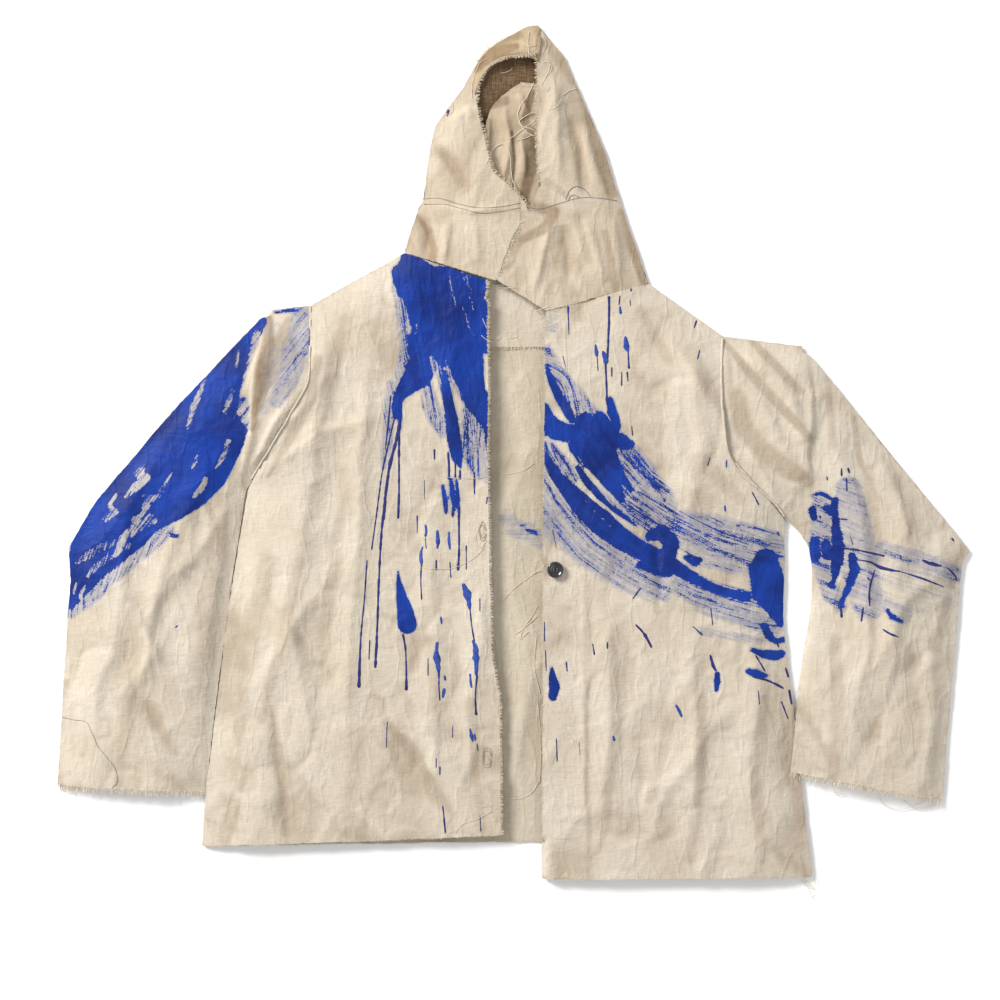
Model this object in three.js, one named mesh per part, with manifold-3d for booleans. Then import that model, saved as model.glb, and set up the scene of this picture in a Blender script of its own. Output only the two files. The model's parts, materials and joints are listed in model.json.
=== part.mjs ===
// Hooded painter's smock jacket of raw canvas, laid flat on its back with the front up and open.
// Millimetres. +X points to the wearer's left, +Y to the hood and +Z up off the table.
// Every cloth piece is a thin closed sheet. The back pieces lie on the table, and the front pieces
// stand a little way off them, so that the body, sleeves and hood stay hollow.
import * as THREE from "three";
import { mergeVertices } from "three/addons/utils/BufferGeometryUtils.js";
import Module from "manifold-3d";

// Cloth
const CLOTH = 1.0;
const GAP = 0.3; // air between two pieces that touch, and along a seam or a fold
const LOFT = 9; // how far the front layers stand off the back ones, away from the seams
const LOFT_RUN = 48; // distance from a sewn or folded edge to the full loft
const CELL = 46; // length of one cell of a sheet
const FIRST_RUNG = 12; // drop down a front's crease to the row that starts at its shoulder tip

// Body
const CHEST_WIDTH = 592; // armpit to armpit
const SHOULDER_SPAN = 455; // tip to tip
const NECK_SPAN = 269;
const NECK_SHIFT = 11; // the neck lies this far to the wearer's left of the body's middle
const SHOULDER_DROP = 58; // from the side of the neck down to the shoulder tip
const ARMHOLE_DEPTH = 202;
const SIDE_LENGTH = 394; // armpit to hem
const HEM_FLARE_RIGHT = 51;
const HEM_FLARE_LEFT = 30;
const SKEW = 34; // the wearer's left half is laid this much lower than the right half
const FRONT_NECK_DROP = 31; // from the side of the neck down to the front's corner
const FRONT_EDGE_RIGHT = 31.6; // from the body's middle to the right front's raw edge
const FRONT_EDGE_LEFT = 31.5;
const EDGE_WANDER = 14; // how far the right front's raw edge drifts across towards its hem
const LAPEL_RIGHT = 132; // hem width of the part of each front that folds open
const LAPEL_LEFT = 124;
const FACING_WIDTH = 46;
const FACING_LENGTH = 330;
const NECK_FACING_DEPTH = 68;

// Sleeves
const PLEAT_RIGHT = 44; // from the armhole to the crease that the sleeve folds along
const PLEAT_LEFT = 88;
const PIT_CLEARANCE_RIGHT = 2.2; // from the armpit out to the crease
const PIT_CLEARANCE_LEFT = 13.8;
const ELBOW_WIDTH_RIGHT = 188; // from the crease across to the elbow
const ELBOW_WIDTH_LEFT = 191;
const ELBOW_DROP_RIGHT = 262;
const ELBOW_DROP_LEFT = 226;
const UPPER_BULGE = 13; // how far the right upper sleeve bows out between shoulder and elbow
const FOREARM_RIGHT = 262; // elbow to cuff, down the outer edge
const FOREARM_LEFT = 274;
const CUFF_WIDTH_RIGHT = 163;
const CUFF_WIDTH_LEFT = 168;
const CUFF_SLANT_LEFT = 31;
const CLIMB = 80; // run over which the left sleeve climbs onto the body's side
const OVER_CLEARANCE = 1.5; // air under the left sleeve where it lies on the body

// Hood
const BAND_HEIGHT = 48; // from the side of the neck up to the seam round the hood
const HOOD_HEIGHT = 202; // seam to peak
const SEAM_WIDTH = 226;
const FACE_WIDTH = 70; // the widest part of the face opening
const HOOD_SHIFT = 4; // the hood's middle lies this far to the left of the body's
const PEAK_SHIFT = 18; // the peak lies this far to the left of the hood's middle
const INNER_FOLD_WIDTH = 44;
const INNER_FOLD_HEIGHT = 3.2;
const STITCH_WIDTH = 1.4;

// Button and buttonholes
const BUTTON_DIAMETER = 18;
const BUTTON_THICKNESS = 3.4;
const BUTTON_HOLE = 1.7;
const BUTTON_HOLE_PITCH = 3.6;
const BUTTON_INSET = 11; // from the left front's raw edge to the button's middle
const BUTTON_FROM_HEM = 339;
const SHANK_LENGTH = 2.4;
const SHANK_RADIUS = 1.2;
const THREAD = 0.9;
const BUTTONHOLE_UPPER = { width: 11, length: 31, fromHem: 333 };
const BUTTONHOLE_LOWER = { width: 15, length: 22, fromHem: 84 };
const BUTTONHOLE_RIM = 2.2;

const CANVAS = 0xd8cdb8;
const CANVAS_SHADE = 0xb9a98e;
const THREAD_NAVY = 0x39415c;
const THREAD_CREAM = 0xcfc3a6;
const BUTTON_BLACK = 0x121417;
const CANVAS_ROUGHNESS = 0.92;

const wasm = await Module();
wasm.setup();
const smock = new THREE.Group();

function addPiece(name, geometry, color, roughness = CANVAS_ROUGHNESS) {
  const material = new THREE.MeshStandardMaterial({ color, roughness, metalness: 0 });
  const mesh = new THREE.Mesh(geometry, material);
  mesh.name = name;
  smock.add(mesh);
  return mesh;
}

// The point a share t of the way from a to b.
function between(a, b, t) {
  return [a[0] + (b[0] - a[0]) * t, a[1] + (b[1] - a[1]) * t];
}

// The point of a falling outline at height y.
function onFalling(outline, y) {
  for (let i = 1; i < outline.length; i++) {
    if (y >= outline[i][1]) return atHeight(outline[i - 1], outline[i], y);
  }
  return outline.at(-1);
}

function shifted(points, dx, dy = 0) {
  return points.map(([x, y]) => [x + dx, y + dy]);
}

// The point of a straight line from a to b at height y.
function atHeight(a, b, y) {
  return between(a, b, (y - a[1]) / (b[1] - a[1]));
}

// ---- Outlines ----
const shoulderRight = [-SHOULDER_SPAN / 2, 0];
const shoulderLeft = [SHOULDER_SPAN / 2, -SKEW];
const neckRight = [NECK_SHIFT - NECK_SPAN / 2, SHOULDER_DROP];
const neckLeft = [NECK_SHIFT + NECK_SPAN / 2, SHOULDER_DROP - SKEW];
const pitInset = (CHEST_WIDTH - SHOULDER_SPAN) / 2;

const armholeRight = [
  shoulderRight,
  [shoulderRight[0], -0.41 * ARMHOLE_DEPTH],
  [shoulderRight[0] - 0.33 * pitInset, -0.6 * ARMHOLE_DEPTH],
  [shoulderRight[0] - 0.67 * pitInset, -0.8 * ARMHOLE_DEPTH],
  [shoulderRight[0] - pitInset, -ARMHOLE_DEPTH],
];
const armholeLeft = [
  shoulderLeft,
  [shoulderLeft[0], -SKEW - 0.35 * ARMHOLE_DEPTH],
  [shoulderLeft[0] + 0.08 * pitInset, -SKEW - 0.65 * ARMHOLE_DEPTH],
  [shoulderLeft[0] + 0.61 * pitInset, -SKEW - 0.84 * ARMHOLE_DEPTH],
  [shoulderLeft[0] + pitInset, -SKEW - ARMHOLE_DEPTH],
];
const pitRight = armholeRight.at(-1);
const pitLeft = armholeLeft.at(-1);

function down(from, flare, share) {
  return [from[0] + flare, from[1] - SIDE_LENGTH * share];
}
const sideRight = [
  pitRight,
  down(pitRight, -0.4 * HEM_FLARE_RIGHT, 0.31),
  down(pitRight, -0.91 * HEM_FLARE_RIGHT, 0.84),
  down(pitRight, -HEM_FLARE_RIGHT, 1),
];
const sideLeft = [
  pitLeft,
  down(pitLeft, -0.06 * HEM_FLARE_LEFT, 0.3),
  down(pitLeft, 0.37 * HEM_FLARE_LEFT, 0.56),
  down(pitLeft, HEM_FLARE_LEFT, 1),
];
const hemRight = sideRight.at(-1);
const hemLeft = sideLeft.at(-1);
const backHemLeft = [hemLeft[0] - 0.2 * HEM_FLARE_LEFT, hemLeft[1] + SKEW + 9];

// Each front has a free raw edge, and a crease from its neck corner to its hem that it folds open along.
const cornerRight = [-FRONT_EDGE_RIGHT, neckRight[1] - FRONT_NECK_DROP];
const cornerLeft = [FRONT_EDGE_LEFT, neckLeft[1] - FRONT_NECK_DROP];
const edgeHemRight = [EDGE_WANDER - FRONT_EDGE_RIGHT, hemRight[1] + 13];
const edgeHemLeft = [FRONT_EDGE_LEFT - 3, hemLeft[1] - 2];
const creaseHemRight = [edgeHemRight[0] - LAPEL_RIGHT, hemRight[1] + 7];
const creaseHemLeft = [edgeHemLeft[0] + LAPEL_LEFT, hemLeft[1] - 1];

const creaseRight = (y) => atHeight(cornerRight, creaseHemRight, y);
const creaseLeft = (y) => atHeight(cornerLeft, creaseHemLeft, y);

// Sleeves: each crease runs from the shoulder, just outside the armpit, to the inner corner of the cuff,
// and the sleeve's widths are measured across from it.
const pleatTopRight = [shoulderRight[0] - PLEAT_RIGHT, shoulderRight[1] - 5];
const pleatTopLeft = [shoulderLeft[0] + PLEAT_LEFT, shoulderLeft[1] - 11];
const foldRight = (y) => atHeight(pleatTopRight, [pitRight[0] - PIT_CLEARANCE_RIGHT, pitRight[1]], y);
const foldLeft = (y) => atHeight(pleatTopLeft, [pitLeft[0] + PIT_CLEARANCE_LEFT, pitLeft[1]], y);
const fromFold = (fold, y, dx) => [fold(y)[0] + dx, y];
const elbowHeightRight = pleatTopRight[1] - ELBOW_DROP_RIGHT;
const elbowHeightLeft = pleatTopLeft[1] - ELBOW_DROP_LEFT;
const elbowRight = fromFold(foldRight, elbowHeightRight, -ELBOW_WIDTH_RIGHT);
const elbowLeft = fromFold(foldLeft, elbowHeightLeft, ELBOW_WIDTH_LEFT);
const cuffInnerRight = foldRight(elbowHeightRight - FOREARM_RIGHT - 7);
const cuffOuterRight = [cuffInnerRight[0] - CUFF_WIDTH_RIGHT, elbowHeightRight - FOREARM_RIGHT];
const cuffInnerLeft = foldLeft(elbowHeightLeft - FOREARM_LEFT + CUFF_SLANT_LEFT);
const cuffOuterLeft = [cuffInnerLeft[0] + CUFF_WIDTH_LEFT, elbowHeightLeft - FOREARM_LEFT];
const underarmLeft = foldLeft(pitLeft[1] - 10);

const upperRight = (t, bulge) => shifted([between(pleatTopRight, elbowRight, t)], -bulge)[0];
const belowElbowRight = [elbowRight[0], elbowRight[1] - 68];
const outerRight = [
  [pleatTopRight[0] - 9, pleatTopRight[1] - 7],
  upperRight(0.1, 0.4 * UPPER_BULGE),
  upperRight(0.4, UPPER_BULGE),
  upperRight(0.8, UPPER_BULGE),
  elbowRight,
  [elbowRight[0] + 3, elbowRight[1] - 38],
  belowElbowRight,
  cuffOuterRight,
];
// The right sleeve's inner edge follows the crease, and lies beside the body's side below the armpit.
const innerRight = [
  foldRight(outerRight[0][1]),
  foldRight(pitRight[1]),
  ...sideRight.slice(1, 3).map(([x, y]) => [Math.min(x - 3 * GAP, foldRight(y)[0]), y]),
  [Math.min(onFalling(sideRight, cuffInnerRight[1])[0] - 3 * GAP, cuffInnerRight[0]), cuffInnerRight[1]],
];
const belowElbowLeft = [elbowLeft[0] - 8, elbowLeft[1] - 12];
const outerLeft = [
  [pleatTopLeft[0] + 7, pleatTopLeft[1] - 8],
  elbowLeft,
  belowElbowLeft,
  cuffOuterLeft,
];
const innerLeft = [
  foldLeft(outerLeft[0][1]),
  underarmLeft,
  [underarmLeft[0] + 13, underarmLeft[1] - 18],
  [underarmLeft[0] + 17, underarmLeft[1] - 45],
  [underarmLeft[0] + 17, underarmLeft[1] - 80],
  [cuffInnerLeft[0] + 9, cuffInnerLeft[1] + 85],
  cuffInnerLeft,
];

// Both edges of a piece, with a point at each height where either of them bends, and its own two ends.
function rungs(outer, inner) {
  const low = Math.max(outer.at(-1)[1], inner.at(-1)[1]);
  const bends = [...outer.slice(1, -1), ...inner.slice(1, -1)].map(([, y]) => y);
  const heights = bends.filter((y) => y > low + 2 && y < outer[0][1] - 2).sort((a, b) => b - a);
  const apart = heights.filter((y, i) => i === 0 || heights[i - 1] - y > 1);
  const ends = (outline) => [
    outline[0],
    ...apart.map((y) => onFalling(outline, y)),
    outline.at(-1),
  ];
  return [ends(outer), ends(inner)];
}
const [sleeveOuterRight, sleeveInnerRight] = rungs(outerRight, innerRight);
const [sleeveOuterLeft, sleeveInnerLeft] = rungs(outerLeft, innerLeft);

// Hood: a band sewn to the neck, and above the seam two side pieces, open at the face.
const seamY = neckRight[1] + BAND_HEIGHT;
// A point of the hood, as shares of its half width at the seam and of its height.
function onHood(across, up) {
  return [HOOD_SHIFT + (across * SEAM_WIDTH) / 2, seamY + HOOD_HEIGHT * up];
}
const seamRight = onHood(-1, 0);
const seamLeft = onHood(1, 0);
const crossing = onHood(0.07, 0); // where the right side's raw edge crosses the seam
const peak = [HOOD_SHIFT + PEAK_SHIFT, seamY + HOOD_HEIGHT];
const face = (across, up) => [
  HOOD_SHIFT - 0.17 * FACE_WIDTH + (across * FACE_WIDTH) / 2,
  seamY + HOOD_HEIGHT * up,
];
// Each pair is a point of the outline and the point of the face opening's raw edge across from it.
const hoodRight = [
  [[seamRight[0], seamY + GAP], [crossing[0], seamY + GAP]],
  [onHood(-0.94, 0.05), face(0.42, 0.05)],
  [onHood(-0.91, 0.22), face(-0.55, 0.21)],
  [onHood(-0.87, 0.36), face(-0.76, 0.36)],
  [onHood(-0.82, 0.46), face(-0.93, 0.48)],
  [onHood(-0.67, 0.58), face(-1.04, 0.59)],
  [onHood(-0.56, 0.66), face(-1.0, 0.68)],
  [onHood(-0.43, 0.79), face(-0.7, 0.78)],
  [onHood(-0.35, 0.86), face(-0.2, 0.83)],
  [onHood(-0.2, 0.92), face(0.3, 0.84)],
  [onHood(-0.03, 0.96), [peak[0] - 9, seamY + 0.84 * HOOD_HEIGHT]],
  [[peak[0] - 2, peak[1]], [peak[0] - GAP, seamY + 0.85 * HOOD_HEIGHT]],
];
const hoodLeft = [
  [[crossing[0] + 2 * GAP, seamY + GAP], [seamLeft[0], seamY + GAP]],
  [face(0.99, 0.13), onHood(0.92, 0.13)],
  [face(0.88, 0.31), onHood(0.83, 0.31)],
  [face(0.88, 0.47), onHood(0.71, 0.47)],
  [[peak[0] + GAP, seamY + 0.64 * HOOD_HEIGHT], onHood(0.58, 0.64)],
  [[peak[0] + GAP, seamY + 0.84 * HOOD_HEIGHT], onHood(0.42, 0.84)],
  [[peak[0] + GAP, seamY + 0.94 * HOOD_HEIGHT], onHood(0.27, 0.94)],
  [[peak[0] - 1, peak[1]], [peak[0] + 3, peak[1]]],
];
const hoodOutlineRight = hoodRight.map(([outer]) => outer);
const faceEdgeRight = hoodRight.map(([, inner]) => inner);
const faceEdgeLeft = hoodLeft.map(([inner]) => inner);
const hoodOutlineLeft = hoodLeft.map(([, outer]) => outer);

// ---- Heights ----
// Edges where the front is sewn or folded to the back, so the loft starts from nothing there.
const bodyEdges = [
  [neckRight, shoulderRight, pleatTopRight],
  sideRight,
  [neckLeft, shoulderLeft, pleatTopLeft],
  sideLeft,
  [neckRight, ...hoodOutlineRight],
  [neckLeft, ...hoodOutlineLeft],
];
const sleeveEdges = [outerRight, innerRight.slice(1), outerLeft, innerLeft.slice(1)];

function distanceToSegment([x, y], a, b) {
  const length2 = (b[0] - a[0]) ** 2 + (b[1] - a[1]) ** 2;
  const along = ((x - a[0]) * (b[0] - a[0]) + (y - a[1]) * (b[1] - a[1])) / length2;
  const [px, py] = between(a, b, Math.min(1, Math.max(0, along)));
  return Math.hypot(x - px, y - py);
}

function loft(x, y, edges) {
  let nearest = LOFT_RUN;
  for (const edge of edges) {
    for (let i = 1; i < edge.length; i++) {
      nearest = Math.min(nearest, distanceToSegment([x, y], edge[i - 1], edge[i]));
    }
  }
  return LOFT * Math.sin((nearest / LOFT_RUN) * (Math.PI / 2));
}

const onTable = () => 0;
const backTop = CLOTH + GAP;
const frontHeight = (x, y) => backTop + loft(x, y, bodyEdges);
const sleeveHeight = (x, y) => backTop + loft(x, y, [...bodyEdges, ...sleeveEdges]);
const frontTop = backTop + LOFT + CLOTH;

// The left sleeve climbs onto the body's side towards its cuff.
function leftSleeveHeight(x, y) {
  const climbed = 1 - THREE.MathUtils.smoothstep(y, pitLeft[1] - CLIMB, pitLeft[1]);
  const beyond = x - onFalling(sideLeft, Math.min(y, pitLeft[1]))[0];
  const outside = 1 - THREE.MathUtils.smoothstep(beyond, 0, CLIMB);
  const onSide = frontHeight(x, y) + CLOTH + OVER_CLEARANCE;
  const level = beyond > 0 ? frontHeight(...onFalling(sideLeft, y)) + CLOTH + OVER_CLEARANCE : onSide;
  return level * climbed * outside;
}

// ---- Sheets ----
const ONE_CLOSED = [0, 0.05, 0.12, 0.24, 0.5, 0.75, 1]; // shares of a row, finer at the closed edge
const OTHER_CLOSED = ONE_CLOSED.map((t) => 1 - t).reverse();
const BOTH_CLOSED = [0, 0.06, 0.16, 0.32, 0.5, 0.68, 0.84, 0.94, 1];
const FLAT_ROW = [0, 0.5, 1];

// A closed sheet between two long edges that have as many points as each other. lower(x, y) is
// the height of its underside, and rows gives the shares at which each row across is divided.
function sheet(first, second, lower, rows = FLAT_ROW, thickness = CLOTH) {
  const ladder = [];
  for (let i = 1; i < first.length; i++) {
    const run = Math.hypot(first[i][0] - first[i - 1][0], first[i][1] - first[i - 1][1]);
    const steps = Math.max(1, Math.round(run / CELL));
    for (let k = i === 1 ? 0 : 1; k <= steps; k++) {
      ladder.push([
        between(first[i - 1], first[i], k / steps),
        between(second[i - 1], second[i], k / steps),
      ]);
    }
  }
  const points = [];
  for (const lift of [0, thickness]) {
    for (const [a, b] of ladder) {
      for (const share of rows) {
        const [x, y] = between(a, b, share);
        points.push(x, y, lower(x, y) + lift);
      }
    }
  }
  const wide = rows.length;
  const layer = ladder.length * wide;
  const faces = [];
  const quad = (a, b, c, d) => faces.push(a, b, c, a, c, d);
  for (let r = 0; r < ladder.length - 1; r++) {
    for (let c = 0; c < wide - 1; c++) {
      const at = r * wide + c;
      quad(at, at + 1, at + wide + 1, at + wide);
      quad(layer + at, layer + at + wide, layer + at + wide + 1, layer + at + 1);
    }
    const row = r * wide;
    const end = row + wide - 1;
    quad(row, row + wide, layer + row + wide, layer + row);
    quad(end, layer + end, layer + end + wide, end + wide);
  }
  for (let c = 0; c < wide - 1; c++) {
    const last = layer - wide + c;
    quad(c, layer + c, layer + c + 1, c + 1);
    quad(last, last + 1, layer + last + 1, layer + last);
  }
  const geometry = new THREE.BufferGeometry();
  geometry.setAttribute("position", new THREE.Float32BufferAttribute(points, 3));
  geometry.setIndex(faces);
  return facingOut(geometry);
}

// Turns a closed geometry the right way round, whichever hand its edges were given in.
function facingOut(geometry) {
  const p = geometry.attributes.position;
  const f = geometry.index.array;
  const [a, b, c] = [new THREE.Vector3(), new THREE.Vector3(), new THREE.Vector3()];
  let volume = 0;
  for (let i = 0; i < f.length; i += 3) {
    a.fromBufferAttribute(p, f[i]);
    b.fromBufferAttribute(p, f[i + 1]);
    c.fromBufferAttribute(p, f[i + 2]);
    volume += a.dot(b.cross(c));
  }
  if (volume < 0) {
    for (let i = 0; i < f.length; i += 3) {
      [f[i + 1], f[i + 2]] = [f[i + 2], f[i + 1]];
    }
  }
  return geometry;
}

// Body
function makeBody() {
  const backRight = [neckRight, ...armholeRight, ...sideRight.slice(1)];
  const backLeft = [neckLeft, ...armholeLeft, ...sideLeft.slice(1, 3), backHemLeft];
  addPiece("back_panel", sheet(backRight, backLeft, onTable, BOTH_CLOSED), CANVAS);

  for (const [name, neck, armhole, side, corner, creaseHem] of [
    ["front_panel_right", neckRight, armholeRight, sideRight, cornerRight, creaseHemRight],
    ["front_panel_left", neckLeft, armholeLeft, sideLeft, cornerLeft, creaseHemLeft],
  ]) {
    const outer = [neck, ...armhole, ...side.slice(1)];
    const crease = outer.map(([, y], i) => {
      if (i === 0) return corner;
      const level = i === outer.length - 1 ? creaseHem[1] : Math.min(y, corner[1] - FIRST_RUNG);
      return atHeight(corner, creaseHem, level);
    });
    addPiece(name, sheet(outer, crease, frontHeight, ONE_CLOSED), CANVAS);
  }

  const facingTop = seamY - BAND_HEIGHT - FRONT_NECK_DROP - 4;
  const facingEdge = (x) => [
    [x, facingTop],
    [x, facingTop - NECK_FACING_DEPTH],
  ];
  const facingRight = facingEdge(-FRONT_EDGE_RIGHT - 22);
  const facingLeft = facingEdge(FRONT_EDGE_LEFT + 22);
  const neckFacing = sheet(facingRight, facingLeft, () => backTop);
  addPiece("back_neck_facing", neckFacing, CANVAS_SHADE);
}

// The parts of the two fronts that fold open, each from a point below its neck corner to the hem.
function makeLapels() {
  const startRight = cornerRight[1] - 22;
  const right = [
    [-FRONT_EDGE_RIGHT, startRight],
    [-FRONT_EDGE_RIGHT, -ARMHOLE_DEPTH],
    [-FRONT_EDGE_RIGHT + 0.25 * EDGE_WANDER, -ARMHOLE_DEPTH - 0.45 * SIDE_LENGTH],
    [-FRONT_EDGE_RIGHT + 0.9 * EDGE_WANDER, -ARMHOLE_DEPTH - 0.58 * SIDE_LENGTH],
    edgeHemRight,
  ];
  const rightCrease = right.map(([, y], i) => creaseRight(i === 4 ? creaseHemRight[1] : y));
  const lapelRight = sheet(shifted(rightCrease, GAP), right, frontHeight);
  addPiece("lapel_right", lapelRight, CANVAS);

  const startLeft = cornerLeft[1] - 22;
  const left = [
    [FRONT_EDGE_LEFT, startLeft],
    [FRONT_EDGE_LEFT - 2, -SKEW - ARMHOLE_DEPTH],
    edgeHemLeft,
  ];
  const leftCrease = left.map(([, y], i) => creaseLeft(i === 2 ? creaseHemLeft[1] : y));
  const lapelLeft = sheet(left, shifted(leftCrease, -GAP), frontHeight);
  addPiece("lapel_left", lapelLeft, CANVAS);

  const facing = [
    [edgeHemLeft[0] + 2, edgeHemLeft[1] + FACING_LENGTH],
    [edgeHemLeft[0] + 2, edgeHemLeft[1] + 2],
  ];
  const underLapel = (x, y) => frontHeight(x, y) - CLOTH - GAP;
  const facingSheet = sheet(facing, shifted(facing, FACING_WIDTH), underLapel);
  addPiece("front_facing_left", facingSheet, CANVAS_SHADE);
}

// Each sleeve has a cap between the armhole and its crease, and below the crease the part that folds over.
function makeSleeves() {
  const capRight = [
    shoulderRight,
    armholeRight[1],
    armholeRight[2],
    armholeRight[3],
    [pitRight[0], pitRight[1] + 1],
  ];
  const capFoldRight = capRight.map(([, y], i) => (i === 0 ? pleatTopRight : foldRight(y)));
  const capLeft = [...armholeLeft.slice(0, 4), [pitLeft[0], pitLeft[1] + 1]];
  const capFoldLeft = capLeft.map(([, y], i) => {
    if (i === 0) return pleatTopLeft;
    return i === 4 ? underarmLeft : foldLeft(y);
  });
  for (const [layer, height] of [["front", sleeveHeight], ["back", onTable]]) {
    const right = sheet(shifted(capFoldRight, GAP), shifted(capRight, -GAP), height, FLAT_ROW);
    addPiece("sleeve_cap_right_" + layer, right, CANVAS);
    const left = sheet(shifted(capLeft, GAP), shifted(capFoldLeft, -GAP), height, FLAT_ROW);
    addPiece("sleeve_cap_left_" + layer, left, CANVAS);
  }
  const overBody = (x, y) => sleeveHeight(x, y) + leftSleeveHeight(x, y);
  const rightFront = sheet(sleeveOuterRight, sleeveInnerRight, sleeveHeight, BOTH_CLOSED);
  addPiece("sleeve_right_front", rightFront, CANVAS);
  addPiece("sleeve_right_back", sheet(sleeveOuterRight, sleeveInnerRight, onTable), CANVAS);
  const leftFront = sheet(sleeveInnerLeft, sleeveOuterLeft, overBody, BOTH_CLOSED);
  addPiece("sleeve_left_front", leftFront, CANVAS);
  const leftBack = sheet(sleeveInnerLeft, sleeveOuterLeft, leftSleeveHeight, BOTH_CLOSED);
  addPiece("sleeve_left_back", leftBack, CANVAS);
}

function makeHood() {
  const bandTop = seamY - GAP;
  const overlapEdge = [
    [crossing[0], bandTop],
    between(crossing, cornerRight, 0.4),
    [cornerRight[0] + 9, cornerRight[1] + 2 * GAP],
  ];
  const bandOuterRight = [
    [seamRight[0], bandTop],
    between([seamRight[0], bandTop], neckRight, 0.4),
    [neckRight[0], neckRight[1] + GAP],
  ];
  const bandRight = sheet(bandOuterRight, overlapEdge, frontHeight, ONE_CLOSED);
  addPiece("hood_band_right", bandRight, CANVAS);
  const bandOuterLeft = [
    [seamLeft[0], bandTop],
    between([seamLeft[0], bandTop], neckLeft, 0.4),
    between([seamLeft[0], bandTop], neckLeft, 0.8),
    [neckLeft[0], neckLeft[1] + GAP],
  ];
  const bandInnerLeft = shifted([...overlapEdge, [cornerLeft[0], cornerLeft[1] + GAP]], 2 * GAP);
  addPiece("hood_band_left", sheet(bandInnerLeft, bandOuterLeft, frontHeight, OTHER_CLOSED), CANVAS);
  const backEnds = [bandOuterRight, bandOuterLeft].map((edge) => [edge[0], edge.at(-1)]);
  const bandBack = sheet(...backEnds, onTable);
  addPiece("hood_band_back", bandBack, CANVAS);

  const right = sheet(hoodOutlineRight, faceEdgeRight, frontHeight, ONE_CLOSED);
  addPiece("hood_side_right", right, CANVAS);
  const left = sheet(faceEdgeLeft, hoodOutlineLeft, frontHeight, OTHER_CLOSED);
  addPiece("hood_side_left", left, CANVAS);
  const backLeft = hoodOutlineRight.map(([, y], i) => {
    const last = i === hoodOutlineRight.length - 1;
    return last ? [peak[0] + 3, peak[1]] : onRising(hoodOutlineLeft, y);
  });
  addPiece("hood_back", sheet(hoodOutlineRight, backLeft, onTable), CANVAS_SHADE);

  const foldEdge = (side) => [
    [face(0.2 + side * 0.2, 0)[0], face(0, 0.66)[1]],
    [face(0.1, 0)[0] + side * 0.5 * INNER_FOLD_WIDTH, face(0, 0.45)[1]],
    [face(0.2, 0)[0] + side * 0.38 * INNER_FOLD_WIDTH, face(0, 0.12)[1]],
  ];
  const fold = sheet(foldEdge(-1), foldEdge(1), () => backTop, FLAT_ROW, INNER_FOLD_HEIGHT);
  addPiece("hood_inner_fold", fold, CANVAS_SHADE);

  // Short raw allowance of the seam over the crown, turned down onto the left side.
  const crown = [[peak[0] + 2, face(0, 0.85)[1]], [peak[0] + 2, peak[1] - 10]];
  const onCrown = (x, y) => frontHeight(x, y) + CLOTH + 2 * GAP;
  addPiece("hood_crown_seam", sheet(crown, shifted(crown, 6), onCrown), CANVAS);

  const shares = [0.06, 0.1, 0.15, 0.2, 0.28, 0.36, 0.5, 0.64, 0.72, 0.8, 0.85, 0.9, 0.94];
  const onBand = (x, y) => frontHeight(x, y) + CLOTH + GAP;
  for (const [name, from, to] of [
    ["hood_stitching_right", seamRight, shifted([crossing], -4)[0]],
    ["hood_stitching_left", shifted([crossing], 6)[0], seamLeft],
  ]) {
    const line = shifted(shares.map((t) => between(from, to, t)), 0, -5);
    const stitching = sheet(line, shifted(line, 0, -STITCH_WIDTH), onBand, FLAT_ROW, 0.5);
    addPiece(name, stitching, THREAD_NAVY);
  }
}

// The point of a rising outline at height y.
function onRising(outline, y) {
  for (let i = 1; i < outline.length; i++) {
    if (y <= outline[i][1]) return atHeight(outline[i - 1], outline[i], y);
  }
  return outline.at(-1);
}

// ---- Solids joined and cut by manifold-3d ----
function solidOf(geometry) {
  const bare = geometry.clone();
  bare.deleteAttribute("normal");
  bare.deleteAttribute("uv");
  const merged = mergeVertices(bare, 1e-4);
  return new wasm.Manifold(
    new wasm.Mesh({
      numProp: 3,
      vertProperties: new Float32Array(merged.attributes.position.array),
      triVerts: new Uint32Array(merged.index.array),
    }),
  );
}

function geometryOf(solid) {
  const { vertProperties, triVerts } = solid.getMesh();
  const geometry = new THREE.BufferGeometry();
  geometry.setAttribute("position", new THREE.BufferAttribute(vertProperties, 3));
  geometry.setIndex(new THREE.BufferAttribute(triVerts, 1));
  return geometry;
}

// An upright cylinder from height z0 to z1.
function post(radius, z0, z1, x = 0, y = 0, sides = 12) {
  const cylinder = new THREE.CylinderGeometry(radius, radius, z1 - z0, sides);
  cylinder.rotateX(Math.PI / 2);
  cylinder.translate(x, y, (z0 + z1) / 2);
  return solidOf(cylinder);
}

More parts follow.
